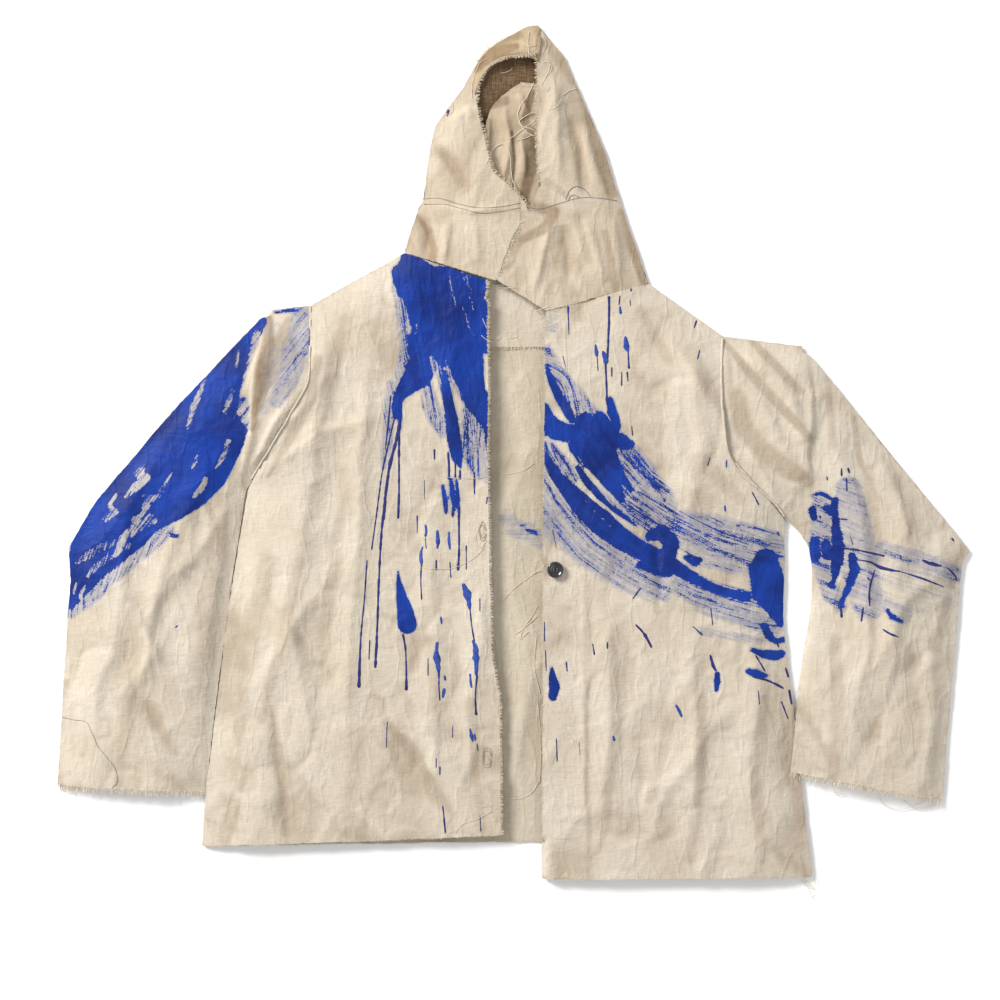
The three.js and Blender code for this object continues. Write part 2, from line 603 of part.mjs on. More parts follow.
// A dished button with four holes, and the thread that holds it up on a short shank.
function makeButton() {
  const radius = BUTTON_DIAMETER / 2;
  const under = SHANK_LENGTH;
  const top = under + BUTTON_THICKNESS;
  const dish = top - 1.5;
  const profile = [
    [0, under],
    [0.72 * radius, under],
    [0.94 * radius, under + 0.3 * BUTTON_THICKNESS],
    [radius, under + 0.6 * BUTTON_THICKNESS],
    [0.93 * radius, top - 0.15],
    [0.84 * radius, top],
    [0.73 * radius, top - 0.2],
    [0.6 * radius, dish],
    [0, dish],
  ].map(([x, y]) => new THREE.Vector2(x, y));
  const disc = new THREE.LatheGeometry(profile, 40);
  disc.rotateX(Math.PI / 2);
  let button = solidOf(disc);
  let thread = post(SHANK_RADIUS, 0, under - GAP);
  const half = BUTTON_HOLE_PITCH / 2;
  for (const x of [-half, half]) {
    for (const y of [-half, half]) {
      button = button.subtract(post(BUTTON_HOLE / 2, under - 1, top + 1, x, y));
      thread = thread.add(post(THREAD / 2, under - 2 * GAP, dish + GAP + THREAD, x, y, 8));
    }
    const foot = new THREE.BoxGeometry(THREAD, BUTTON_HOLE_PITCH, THREAD);
    foot.translate(x, 0, dish + GAP + THREAD / 2);
    thread = thread.add(solidOf(foot));
  }
  const plate = new THREE.BoxGeometry(BUTTON_HOLE_PITCH, BUTTON_HOLE_PITCH, 0.6);
  plate.translate(0, 0, under - GAP - 0.3);
  thread = thread.add(solidOf(plate));
  const spot = [FRONT_EDGE_LEFT + BUTTON_INSET, hemLeft[1] + BUTTON_FROM_HEM];
  for (const [name, solid, color, roughness] of [
    ["button", button, BUTTON_BLACK, 0.2],
    ["button_thread", thread, THREAD_CREAM, 0.8],
  ]) {
    const mesh = addPiece(name, geometryOf(solid), color, roughness);
    mesh.position.set(spot[0], spot[1], frontTop + GAP);
  }
}

// Overcast rims of the two buttonholes, on the right front beside its raw edge.
function makeButtonholes() {
  for (const [name, hole] of [
    ["buttonhole_upper", BUTTONHOLE_UPPER],
    ["buttonhole_lower", BUTTONHOLE_LOWER],
  ]) {
    const oval = (width, length) => new THREE.EllipseCurve(0, 0, width / 2, length / 2);
    const rim = new THREE.Shape(oval(hole.width, hole.length).getPoints(20));
    const slit = oval(hole.width - 2 * BUTTONHOLE_RIM, hole.length - 2 * BUTTONHOLE_RIM);
    rim.holes.push(new THREE.Path(slit.getPoints(20)));
    const ring = new THREE.ExtrudeGeometry(rim, { depth: 0.6, bevelEnabled: false });
    const mesh = addPiece(name, geometryOf(solidOf(ring)), THREAD_CREAM);
    const drift = 0.25 * EDGE_WANDER * (1 - hole.fromHem / SIDE_LENGTH);
    const x = -FRONT_EDGE_RIGHT + drift - hole.width / 2 - 1;
    mesh.position.set(x, hemRight[1] + hole.fromHem, frontTop + GAP);
  }
}

makeBody();
makeLapels();
makeSleeves();
makeHood();
makeButton();
makeButtonholes();

// The origin is the middle of the smock's footprint, on the table.
const box = new THREE.Box3().setFromObject(smock);
const middle = box.getCenter(new THREE.Vector3());
smock.position.set(-middle.x, -middle.y, -box.min.z);

export default smock;
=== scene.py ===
# %% [markdown]
# # A painter's hooded smock jacket, laid flat
# The jacket is one layer of cream canvas with raw, fraying edges and cobalt paint brushed and
# dripped over it. The packed solids give the outlines and the joints. Every cloth here is a
# sheet laid over those solids.
# %% Load the frame
import json
import math
import bpy
import bmesh
import numpy as np
from mathutils import Matrix, Vector, geometry
from mathutils.bvhtree import BVHTree
from mathutils.kdtree import KDTree


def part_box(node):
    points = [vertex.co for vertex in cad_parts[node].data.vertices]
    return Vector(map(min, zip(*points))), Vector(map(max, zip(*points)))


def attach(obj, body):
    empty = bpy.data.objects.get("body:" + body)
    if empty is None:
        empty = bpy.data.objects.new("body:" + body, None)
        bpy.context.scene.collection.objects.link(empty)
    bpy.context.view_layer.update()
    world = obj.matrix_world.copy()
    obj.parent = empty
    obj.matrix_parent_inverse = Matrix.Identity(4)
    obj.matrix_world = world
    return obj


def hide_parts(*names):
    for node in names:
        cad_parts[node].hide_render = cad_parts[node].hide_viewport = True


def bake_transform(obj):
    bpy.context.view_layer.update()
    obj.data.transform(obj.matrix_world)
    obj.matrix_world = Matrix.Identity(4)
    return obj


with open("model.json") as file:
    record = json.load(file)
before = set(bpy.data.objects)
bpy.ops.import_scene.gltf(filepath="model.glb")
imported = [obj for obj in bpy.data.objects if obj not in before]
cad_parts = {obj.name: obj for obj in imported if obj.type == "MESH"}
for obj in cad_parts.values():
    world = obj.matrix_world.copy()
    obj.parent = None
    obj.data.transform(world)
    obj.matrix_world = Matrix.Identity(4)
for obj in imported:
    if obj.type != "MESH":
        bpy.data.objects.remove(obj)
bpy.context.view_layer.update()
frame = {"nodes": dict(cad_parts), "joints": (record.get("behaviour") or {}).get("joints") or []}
NODES = frame["nodes"]
JOINTS = {joint["name"]: joint for joint in frame["joints"]}
MM = 0.001

# %% [markdown]
# ## Camera and floor
# The jacket lies on a pale floor and is seen from straight above, so the camera hangs over its
# middle. A long lens keeps the far sleeves from leaning outwards.
# %% Camera and floor
scene = bpy.context.scene
scene.view_settings.view_transform = "Standard"
VIEW_MIDDLE = (-0.0149, -0.0523)
VIEW_WIDTH = 1.1
LENS, SENSOR = 85, 36
CANVAS_TOP = 11 * MM
FLOOR_LEVEL, FLOOR_SIZE = -1.2 * MM, 12
FLOOR_TONE, FLOOR_ROUGHNESS = 0.95, 0.9


def add_camera():
    data = bpy.data.cameras.new("overhead")
    data.lens, data.sensor_width = LENS, SENSOR
    camera = bpy.data.objects.new("overhead", data)
    scene.collection.objects.link(camera)
    camera.location = (*VIEW_MIDDLE, VIEW_WIDTH * LENS / SENSOR + CANVAS_TOP)
    scene.camera = camera


def add_floor():
    bpy.ops.mesh.primitive_plane_add(size=FLOOR_SIZE, location=(0, 0, FLOOR_LEVEL))
    floor = bpy.context.object
    floor.name = "floor"
    paper = bpy.data.materials.new("pale_floor")
    paper.use_nodes = True
    shader = paper.node_tree.nodes["Principled BSDF"]
    shader.inputs["Base Color"].default_value = (FLOOR_TONE, FLOOR_TONE, FLOOR_TONE, 1)
    shader.inputs["Roughness"].default_value = FLOOR_ROUGHNESS
    floor.data.materials.append(paper)


add_camera()
add_floor()
print("camera and floor", VIEW_WIDTH, "m wide")

# %% [markdown]
# ## Light
# Canvas shows its folds only when the light comes in from one side. A big soft lamp on the upper
# left makes them, a weak one opposite fills them, and a pale sky keeps the shadows open.
# %% Light
SKY_STRENGTH = 0.5


def add_lamp(name, place, size, power, tint):
    data = bpy.data.lights.new(name, "AREA")
    data.size, data.energy, data.color = size, power, tint
    lamp = bpy.data.objects.new(name, data)
    lamp.location = place
    lamp.rotation_euler = (-Vector(place)).to_track_quat("-Z", "Y").to_euler()
    scene.collection.objects.link(lamp)


add_lamp("window", place=(-4.6, 3.6, 3.3), size=2.2, power=700, tint=(1.0, 0.985, 0.96))
add_lamp("bounce", place=(2.6, -1.8, 4.0), size=4.0, power=60, tint=(1.0, 0.99, 0.98))
sky = bpy.data.worlds.new("sky")
sky.use_nodes = True
sky.node_tree.nodes["Background"].inputs["Color"].default_value = (1, 1, 1, 1)
sky.node_tree.nodes["Background"].inputs["Strength"].default_value = SKY_STRENGTH
scene.world = sky
print("lamps and sky")

# %% [markdown]
# ## Noise and soft steps
# Cloth is never even. A soft step eases one value into another, and smooth noise gives the frays,
# the crumples and the wandering folds. The noise comes from a formula and a seed, so that it is
# the same each time.
# %% Noise and soft steps
def soft(t):
    t = np.clip(t, 0, 1)
    return t * t * (3 - 2 * t)


def noise(x, y, size, seed):
    """Smooth noise from -1 to 1, with lumps about `size` metres across."""
    u, v = np.asarray(x, float) / size, np.asarray(y, float) / size
    iu, iv = np.floor(u), np.floor(v)
    fu, fv = soft(u - iu), soft(v - iv)

    def corner(i, j):
        h = np.sin(i * 127.1 + j * 311.7 + seed * 74.7) * 43758.5453
        return 2 * (h - np.floor(h)) - 1

    low = corner(iu, iv) * (1 - fu) + corner(iu + 1, iv) * fu
    high = corner(iu, iv + 1) * (1 - fu) + corner(iu + 1, iv + 1) * fu
    return low * (1 - fv) + high * fv


print("noise at three spots", noise([0, 0.01, 0.02], [0, 0, 0], 0.02, 1).round(2))

# %% [markdown]
# ## Distance along a path
# Strokes, folds and seams are all told as paths. What each needs to know about a spot on the
# cloth is how far along the path it lies, how far off it, and how wide the path is there.
# %% Distance along a path
def along(points, spots):
    """For each spot: distance along the path, signed distance off it, and share of a segment."""
    points = np.asarray(points, float)
    best = np.full(len(spots), np.inf)
    run, off = np.zeros(len(spots)), np.zeros(len(spots))
    width = np.zeros(len(spots))
    start = 0.0
    for a, b in zip(points[:-1], points[1:]):
        d = b[:2] - a[:2]
        length = max(np.hypot(*d), 1e-9)
        t = ((spots - a[:2]) @ d) / length**2
        inside = np.clip(t, 0, 1)
        gap = spots - a[:2] - inside[:, None] * d
        far = np.hypot(gap[:, 0], gap[:, 1])
        side = np.sign(d[0] * gap[:, 1] - d[1] * gap[:, 0])
        near = far < best
        best[near] = far[near]
        run[near] = start + (t * length)[near]
        off[near] = (side * far)[near]
        if points.shape[1] > 2:
            width[near] = (a[2] + (b[2] - a[2]) * inside)[near]
        start += length
    return run, off, best, width


print("a spot beside a path", [float(v[0]) for v in along([(0, 0), (1, 0)], np.array([(0.5, 0.1)]))])

# %% [markdown]
# ## Outlines from the packed solids
# Each packed solid is a thin slab with a top face. The rim of its top face is the cut edge of
# the canvas. The tops' triangles are welded, and the edges that only one of them has make the rim.
# %% Outlines from the packed solids
UP = 0.35  # a face counts as the top when its normal points up at least this much
WELD = 0.01 * MM


def top_faces(node):
    """The top of a CAD node as welded corners and triangles."""
    form = bmesh.new()
    form.from_mesh(NODES[node].data)
    bmesh.ops.remove_doubles(form, verts=form.verts, dist=WELD)
    form.normal_update()
    spots = [v.co.copy() for v in form.verts]
    faces = [[v.index for v in f.verts] for f in form.faces if f.normal.z > UP]
    form.free()
    return spots, faces


def open_edges(faces):
    """The directed edges that only one face has."""
    edges = {(f[i], f[(i + 1) % len(f)]) for f in faces for i in range(len(f))}
    return [(a, b) for a, b in edges if (b, a) not in edges]


def rim_of(node):
    """The outer rim of a node's top, once round, in the frame's x and y."""
    spots, faces = top_faces(node)
    follows = dict(open_edges(faces))
    loops = []
    while follows:
        start = next(iter(follows))
        loop = [start]
        while loop[-1] in follows:
            loop.append(follows.pop(loop[-1]))
        loops.append(loop[:-1])
    loop = max(loops, key=len)
    return np.array([spots[i][:2] for i in loop])


print("the back panel's rim has", len(rim_of("back_panel")), "corners")

# %% [markdown]
# ## Even points and real corners
# A rim is walked again in even steps of two millimetres. The small kinks between straight
# stretches are eased, as scissors would, and the real corners of the pattern are kept.
# %% Even points and real corners
STEP = 2.0 * MM
EASE_PASSES, CORNER_TURN = 5, 38
OWN_PASSES, OWN_TURN = 12, 60  # for an outline that is given as a few points
TURN_SPAN = 4


def resample(points, step):
    points = np.asarray(points, float)
    points = np.vstack([points, points[:1]])
    gaps = np.hypot(*np.diff(points[:, :2], axis=0).T)
    run = np.concatenate([[0], np.cumsum(gaps)])
    count = max(2, int(round(run[-1] / step)))
    at = np.linspace(0, run[-1], count + 1)[:-1]
    return np.column_stack([np.interp(at, run, points[:, k]) for k in range(points.shape[1])])


def rounded(loop, passes=EASE_PASSES, corner=CORNER_TURN):
    """Eases the small kinks of a rim and keeps its real corners."""
    loop = loop.copy()
    back = loop - np.roll(loop, TURN_SPAN, 0)
    ahead = np.roll(loop, -TURN_SPAN, 0) - loop
    turn = np.degrees(np.abs(np.arctan2(back[:, 0] * ahead[:, 1] - back[:, 1] * ahead[:, 0],
                                        (back * ahead).sum(1))))
    free = turn < corner
    for _ in range(passes):
        mean = (np.roll(loop, 1, 0) + np.roll(loop, -1, 0)) / 2
        loop[free] = (loop[free] + mean[free]) / 2
    return loop


print("in even steps it has", len(resample(rim_of("back_panel"), STEP)))

# %% [markdown]
# ## Joining two rims
# Two slabs that meet at a fold are one piece of cloth. The stretch where their rims run along
# each other is left out, and the two long runs that stay make one cut outline.
# %% Joining two rims
SEAM_REACH = 1.2 * MM


def kept_run(loop, other):
    """The longest run of a rim that doesn't lie along the other rim."""
    closed = np.vstack([other, other[:1]])
    away = along(closed, loop)[2] > SEAM_REACH
    count = len(loop)
    start = next(i for i in range(count) if away[i] and not away[i - 1])
    order = [(start + i) % count for i in range(count)]
    runs, run = [], []
    for i in order:
        if away[i]:
            run.append(i)
        elif run:
            runs.append(run)
            run = []
    if run:
        runs.append(run)
    return loop[max(runs, key=len)]


def cut_outline(*nodes):
    rims = [resample(rim_of(n), STEP) for n in nodes]
    if len(rims) == 1:
        return rounded(rims[0])
    joined = np.vstack([kept_run(rims[0], rims[1]), kept_run(rims[1], rims[0])])
    return rounded(resample(joined, STEP))


def area_of(loop):
    x, y = loop[:, 0], loop[:, 1]
    return abs(np.dot(x, np.roll(y, -1)) - np.dot(y, np.roll(x, -1))) / 2


print("back outline", len(cut_outline("back_panel")), "points")


# %% [markdown]
# ## Brush strokes
# Paint is told as a painter would: a path for each stroke, with half its width in millimetres
# at each point, and how loaded the brush was. A load of 1 covers, 0 breaks up into bristle marks,
# and below 0 only stains. A lift takes paint off again and leaves a drier streak.
# Painted shade along folds and creases is told in the same way, with how dark it is and no paint.
# %% Brush strokes
PAINT_ZERO = 2.0  # added to the load when it is stored, so that no paint at all is 0
SHADE_REACH, SHADE_RUN = 1.45, 0.9  # in half widths: where a soiled stretch ends, and its fade
TINY = 1e-6


class Strokes:
    """The paint and the painted shade of one cloth, stroke after stroke."""

    def __init__(self, flow):
        self.flow = np.array(flow, float) * MM
        self.marks, self.shades = [], []

    def mark(self, kind, load, edge, path):
        self.marks.append((kind, load, edge, np.array(path, float) * MM))
        return self

    def wet(self, *path, load=1.0, edge=3.0):
        return self.mark("wet", load, edge, path)

    def dry(self, *path, load=-0.05, edge=9.0):
        return self.mark("dry", load, edge, path)

    def lift(self, *path, load=-0.2, edge=3.5):
        return self.mark("lift", load, edge, path)

    def shade(self, load, *path):
        """A stretch of painted shade: darker cloth with no paint on it."""
        self.shades.append((load, np.array(path, float) * MM))
        return self

    def soil(self, spots):
        # painted shade from the shade strokes, from 0 to 1
        dark = np.zeros(len(spots))
        for load, path in self.shades:
            _, _, far, width = along(path, spots)
            share = far / np.maximum(width, TINY)
            dark = np.maximum(dark, load * soft((SHADE_REACH - share) / SHADE_RUN))
        return dark

    def field(self, spots):
        """Paint at each spot from -2, none, to 1, covered, and the run and offset on the flow."""
        paint = np.full(len(spots), -PAINT_ZERO)
        for kind, load, edge, path in self.marks:
            _, _, far, width = along(path, spots)
            depth = (width - far) / (edge * MM)
            if kind == "wet":
                paint = np.maximum(paint, np.minimum(load, depth))
            elif kind == "dry":
                paint = np.maximum(paint, load + np.minimum(depth, 0))
            else:
                paint = np.minimum(paint, np.where(depth < 0, load - depth, load))
        run, off, _, _ = along(self.flow, spots)
        return np.maximum(paint, -PAINT_ZERO), run, off


DOWN = [(0, 300), (0, -500)]
BARE = Strokes(DOWN)
print("strokes run along their flow, as along", DOWN)

# %% [markdown]
# ## The right front's paint
# A loaded brush came down from the neck seam and was dragged out below it, where the bristles
# ran dry. Lifts break the solid blue, and the last rows are tears and thrown drops. Painted
# shade runs down from the armpit, along the folds there.
# %% The right front's paint
RIGHT_FRONT = Strokes([(-97, 234), (-81, 124), (-64, 36), (-61, -74), (-61, -448)])
(RIGHT_FRONT
 .wet((-113, 216, 11), (-112, 195, 22), (-97, 168, 28.6), (-90, 135, 28.6), (-92, 113, 24.2))
 .wet((-81, 190, 15.4), (-72, 157, 19.8), (-63, 124, 24.2), (-52, 91, 20.9), (-39, 63, 8.8))
 .wet((-127, 199, 7.7), (-103, 199, 13.2), (-79, 185, 13.2))
 .wet((-68, 199, 9.9), (-61, 173, 11), (-52, 148, 9.9), (-46, 126, 8.8), load=0.9)
 .wet((-39, 194, 8.8), (-37, 168, 8.8), (-35, 140, 6.6), (-32, 113, 4.4), load=0.34, edge=5)
 .wet((-97, 102, 15.4), (-105, 85, 15.4), (-116, 74, 11), (-125, 63, 6.6), (-129, 52, 5.5),
      (-130, 39, 3.3))
 .wet((-31, 63, 4.4), (-29, 41, 4.4), (-27, 14, 2.8), (-26, -19, 1.1), load=0.8)
 .wet((-78, 85, 5.5), (-72, 58, 5.5), (-68, 36, 6.6), (-65, 14, 7.7), (-62, -6, 6.6), (-58, -17, 1.1))
 .wet((-57, 80, 11), (-48, 58, 8.8), (-39, 45, 6.6), (-30, 30, 4.4), (-27, 16, 2.2))
 .wet((-125, 58, 3.3), (-125, 36, 2.2), (-126, 23, 1.7))
 .lift((-90, 104, 2.2), (-84, 91, 5), (-80, 75, 1.7), load=-0.1)
 .lift((-75, 101, 1.1), (-70, 82, 2.8), (-62, 62, 4.4), (-54, 45, 5), (-46, 25, 4.4), load=-0.02)
 .lift((-124, 168, 1.1), (-119, 151, 1.3), (-115, 133, 0.9), load=-0.6)
 .lift((-107, 142, 0.7), (-107, 131, 0.7), load=0.0)
 .lift((-71, 199, 0.9), (-69, 184, 1.3), (-65, 170, 1.3), (-63, 158, 0.4), load=0.05)
 .wet((-52, 203, 5.5), (-45, 179, 6.6), (-37, 155, 5.5), (-32, 129, 3.3), load=0.16, edge=2)
 .lift((-57, 162, 1.1), (-51, 146, 2.2), (-43, 129, 1.7), load=0.14)
 .dry((-95, 73, 5.5), (-92, 52, 8.8), (-85, 38, 8.8), (-78, 20, 3.3), load=-0.08, edge=4)
 .dry((-50, 45, 6.6), (-45, 19, 13.2), (-40, -3, 14.3), (-35, -19, 11),
      (-30, -28, 5.5), load=-0.04, edge=4)
 .dry((-128, 184, 4.4), (-123, 151, 5.5), (-118, 118, 5.5), (-123, 85, 7.7), load=-0.05, edge=4)
 .dry((-134, 74, 5.5), (-135, 47, 6.6), (-139, 14, 5.5), (-142, -14, 3.3), load=-0.2, edge=4)
 .dry((-127, 201, 5.5), (-131, 179, 3.3), load=0.0, edge=3)
 .wet((-127, -131, 1.1), (-126, -144, 3.3), (-123, -160, 6.1), (-119, -175, 8.8),
      (-117, -189, 10.5), edge=2)
 .wet((-69, -29, 1.7), (-67, -47, 3.3), (-65, -58, 2.2), (-67, -69, 1.1))
 .wet((-63, -30, 1.7), (-61, -52, 2.8), (-61, -65, 1.1))
 .wet((-78, -37, 1.7), (-75, -52, 2.8), (-74, -65, 1.7), load=0.5))
# Painted shade along the folds from the armpit and down the panel.
(RIGHT_FRONT
 .shade(0.5, (-215, 102, 5.5), (-223, 58, 6.6), (-246, 14, 5.5), (-270, -26, 2.2))
 .shade(0.35, (-185, 146, 6.6), (-202, 80, 8.8), (-215, 25, 6.6))
 .shade(0.3, (-270, -118, 8.8), (-295, -239, 8.8), (-303, -316, 6.6))
 .shade(0.3, (-235, -118, 5.5), (-254, -206, 6.6), (-277, -294, 4.4))
 .shade(0.25, (-185, -19, 5.5), (-196, -118, 6.6), (-211, -217, 5.5))
 .shade(0.22, (-156, -272, 6.6), (-178, -360, 6.6), (-185, -422, 5.5))
 .shade(0.3, (-48, -272, 4.4), (-41, -338, 5.5), (-35, -415, 4.4))
 .shade(0.25, (-92, -206, 5.5), (-84, -316, 5.5))
 .shade(0.25, (-141, -296, 4.4), (-90, -358, 5.5)))
print("right front", len(RIGHT_FRONT.marks), "strokes,", len(RIGHT_FRONT.shades), "soiled places")

# %% [markdown]
# ## The left front's paint
# One long arm of paint sweeps from the front edge under the button to the side seam. Above it
# is a knot of short heavy dabs, and wide dry strokes follow the sweep on both sides.
# %% The left front's paint
LEFT_FRONT = Strokes([(27, 58), (38, 3), (64, -41), (101, -83), (150, -116), (205, -144),
                      (271, -164), (348, -175)])
# The first six lines are painted shade along the folds.
(LEFT_FRONT
 .shade(0.3, (201, -19, 5.5), (197, -96, 6.6))
 .shade(0.25, (109, -206, 5.5), (113, -294, 6.6), (100, -415, 5.5))
 .shade(0.28, (207, -272, 6.6), (205, -360, 6.6), (194, -448, 5.5))
 .shade(0.25, (276, -272, 6.6), (267, -360, 7.7), (273, -448, 5.5))
 .shade(0.3, (139, 157, 5.5), (170, 102, 5.5))
 .shade(0.25, (227, -206, 5.5), (172, -294, 6.6), (150, -382, 5.5))
 .wet((36, 96, 2.2), (41, 80, 3.9), (49, 63, 5), (58, 47, 5), (65, 36, 4.4))
 .wet((34, 49, 5.5), (36, 36, 9.9), (42, 27, 12.1), (57, 21, 9.9), (71, 23, 8.8))
 .wet((76, 30, 9.9), (84, 16, 15.4), (93, 1, 19.8), (102, -17, 16.5), (108, -32, 11), (119, -52, 3.3))
 .wet((262, -127, 4.4), (268, -140, 7.7), (271, -156, 8.8), load=0.5, edge=4)
 .wet((42, -237, 1.7), (43, -247, 4.4), (45, -258, 6.1), (43, -269, 4.4), edge=2)
 .wet((224, -244, 2.8), (224, -252, 3.7), (223, -261, 2.2), edge=2)
 .wet((95, 36, 8.8), (108, 14, 11), (84, -3, 15.4), (73, 8, 13.2))
 .wet((79, 38, 6.6), (80, 34, 6.6))
 .wet((117, 14, 7.7), (123, 10, 7.7), (129, 9, 4.4))
 .wet((106, 58, 3.3), (108, 45, 5.5), (114, 30, 4.4), (113, 20, 3.3))
 .wet((30, 5, 2.2), (37, -10, 4.4), (47, -26, 6.6), (60, -41, 8.8), (75, -58, 12.1), (95, -76, 14.3),
      (117, -94, 12.1), (141, -108, 9.9), (167, -120, 8.8), (194, -136, 6.6), (222, -149, 5.5),
      (255, -158, 6.6))
 .wet((71, -17, 3.3), (80, -32, 4.4), (95, -48, 4.4), (115, -65, 3.3), (135, -80, 1.7), load=0.6)
 .wet((150, -92, 5.5), (163, -89, 8.8), (174, -100, 8.8), (170, -113, 8.8))
 .wet((139, -124, 4.4), (152, -125, 7.7), (170, -131, 6.6), load=0.7)
 .wet((190, -115, 3.3), (200, -120, 5.5), (205, -118, 3.3), load=0.4)
 .wet((278, -120, 14.3), (280, -140, 18.7), (284, -159, 16.5), (290, -175, 9.9), (295, -186, 5.5))
 .wet((276, -190, 3.3), (280, -201, 4.4), (289, -208, 3.3), (298, -206, 3.3), load=0.8)
 .wet((262, -217, 1.7), (274, -222, 4.4), (288, -224, 5.5), (295, -222, 4.4), load=0.7)
 .wet((258, -241, 3.3), (267, -243, 4.4), (278, -246, 2.2), load=0.8)
 .wet((139, -19, 1.1), (156, -38, 2.2), (166, -52, 2.2), load=0.2)
 .wet((102, -3, 5.5), (115, -19, 5.5), (130, -41, 3.3), load=0.5)
 .lift((35, 16, 2.2), (47, 6, 5.5), (59, -7, 4.4), load=-0.02)
 .lift((73, -3, 2.8), (74, -12, 3.9), load=0.2)
 .lift((92, -36, 1.1), (106, -52, 2.2), (128, -69, 2.2), (145, -85, 1.1), load=-0.15)
 .lift((79, -52, 0.9), (95, -71, 1.3), (108, -83, 0.8), load=0.1)
 .lift((205, -135, 0.7), (233, -147, 1.3), (258, -153, 0.7), load=-0.1)
 .dry((36, 113, 3.3), (45, 93, 7.7), (58, 71, 11), (75, 49, 11), (95, 25, 11), load=-0.06, edge=5)
 .dry((37, 3, 8.8), (51, -12, 9.9), (64, -28, 6.6), load=0.02, edge=4)
 .dry((108, -3, 24.2), (130, -30, 26.4), (152, -58, 24.2), (167, -80, 17.6), load=0.0, edge=7)
 .dry((35, -41, 19.8), (51, -69, 26.4), (84, -102, 22), (123, -131, 17.6),
      (161, -151, 11), load=-0.12, edge=9)
 .dry((183, -80, 15.4), (211, -96, 26.4), (244, -105, 26.4), (277, -107, 22), load=-0.08, edge=9)
 .dry((183, -146, 8.8), (216, -162, 15.4), (255, -175, 15.4), (284, -190, 11), load=-0.14, edge=7)
 .dry((205, -195, 3.3), (238, -202, 3.3), (271, -206, 4.4), load=-0.25, edge=5)
 .dry((41, 155, 6.6), (43, 140, 6.6), load=-0.42, edge=6))
# More painted shade along the folds.
(LEFT_FRONT
 .shade(0.35, (161, -19, 5.5), (157, -102, 6.6), (157, -175, 3.3))
 .shade(0.25, (194, 113, 8.8), (222, 58, 8.8))
 .shade(0.3, (205, -8, 8.8), (249, -52, 6.6))
 .shade(0.3, (80, -118, 2.2), (79, -272, 2.8), (84, -470, 3.3)))
print("left front", len(LEFT_FRONT.marks), "strokes,", len(LEFT_FRONT.shades), "soiled places")

# %% [markdown]
# ## The right sleeve's paint
# The right sleeve was covered from the cap to below the elbow in one broad pass. Where it lay in
# folds the blue missed the hollows, and those are the lifts. Dry bristle marks fade out below.
# %% The right sleeve's paint
RIGHT_SLEEVE = Strokes([(-251, 190), (-328, 96), (-411, 8), (-466, -63), (-499, -151), (-510, -382)])
(RIGHT_SLEEVE
 .wet((-277, 144, 5.5), (-298, 118, 13.2), (-323, 85, 28.6), (-347, 52, 41.8), (-372, 19, 46.2),
      (-400, -14, 46.2),
      (-427, -49, 37.4), (-455, -85, 30.8), (-472, -118, 19.8), (-483, -151, 11), (-488, -169, 4.4))
 .wet((-301, 52, 9.9), (-303, 30, 12.1), (-310, 14, 14.3), (-321, -5, 16.5), (-334, -25, 18.7),
      (-353, -43, 18.7),
      (-372, -61, 14.3), (-389, -76, 7.7))
 .wet((-389, -74, 6.6), (-411, -94, 8.8), (-438, -116, 8.8), (-464, -137, 8.8),
      (-483, -162, 5.5), load=0.8)
 .wet((-262, 155, 1.9), (-248, 157, 1.9), (-234, 159, 1.4))
 .wet((-376, -90, 2.2), (-369, -92, 2.2), load=0.5)
 .lift((-284, 131, 3.9), (-287, 102, 5.5), (-292, 69, 8.8), (-295, 45, 8.8), (-290, 28, 4.4), load=-0.02)
 .lift((-303, 113, 0.9), (-305, 95, 1.3), load=-0.07)
 .lift((-309, 68, 2.2), (-313, 58, 3.3), (-318, 45, 2.2), load=-0.02)
 .lift((-337, 92, 1.1), (-344, 71, 2.2), (-353, 49, 3.3), (-359, 27, 1.7), load=-0.05)
 .lift((-313, 12, 2.8), (-320, -4, 2.8), (-327, -17, 1.1), load=-0.07)
 .lift((-348, -5, 1.7), (-353, -16, 1.7), load=-0.04)
 .lift((-338, -29, 1.7), (-343, -40, 2.8), (-351, -49, 1.1), load=-0.20)
 .lift((-384, 37, 1.7), (-394, 29, 3.9), (-408, 17, 1.7), load=0.02)
 .lift((-408, -14, 2.2), (-413, -23, 5.5), (-404, -28, 4.4), (-416, -38, 4.4),
       (-427, -49, 1.7), load=-0.03)
 .lift((-377, -23, 1.7), (-383, -36, 2), (-391, -50, 2.8), (-404, -51, 5.5), (-404, -67, 4.4),
       (-417, -75, 3.3),
       load=-0.02)
 .lift((-438, -46, 1.7), (-445, -57, 1.7), (-439, -65, 4.4), (-450, -74, 2.8), load=-0.02)
 .lift((-398, -74, 5.5), (-414, -82, 5.5), (-433, -98, 4.4), (-453, -104, 4.4), (-470, -114, 4.4),
       (-482, -122, 1.7),
       load=-0.02)
 .lift((-424, -102, 3.9), (-444, -114, 3.9), (-459, -126, 3.9), (-469, -137, 1.7), load=-0.02)
 .lift((-432, -129, 2.8), (-446, -138, 4.4), (-458, -148, 2.8), load=-0.02)
 .lift((-482, -144, 1.1), (-485, -155, 1.7), load=-0.07)
 .lift((-472, -147, 1.1), (-477, -159, 2.8), load=-0.04)
 .dry((-380, -85, 6.6), (-400, -103, 6.6), (-433, -129, 6.6), (-466, -162, 5.5),
      (-488, -177, 4.4), load=-0.12, edge=6)
 .dry((-234, 151, 9.9), (-237, 118, 13.2), (-248, 82, 12.1), (-261, 56, 6.6), load=-0.14, edge=4)
 .dry((-262, 135, 8.8), (-266, 91, 8.8), (-274, 47, 5.5), load=-0.5, edge=6))
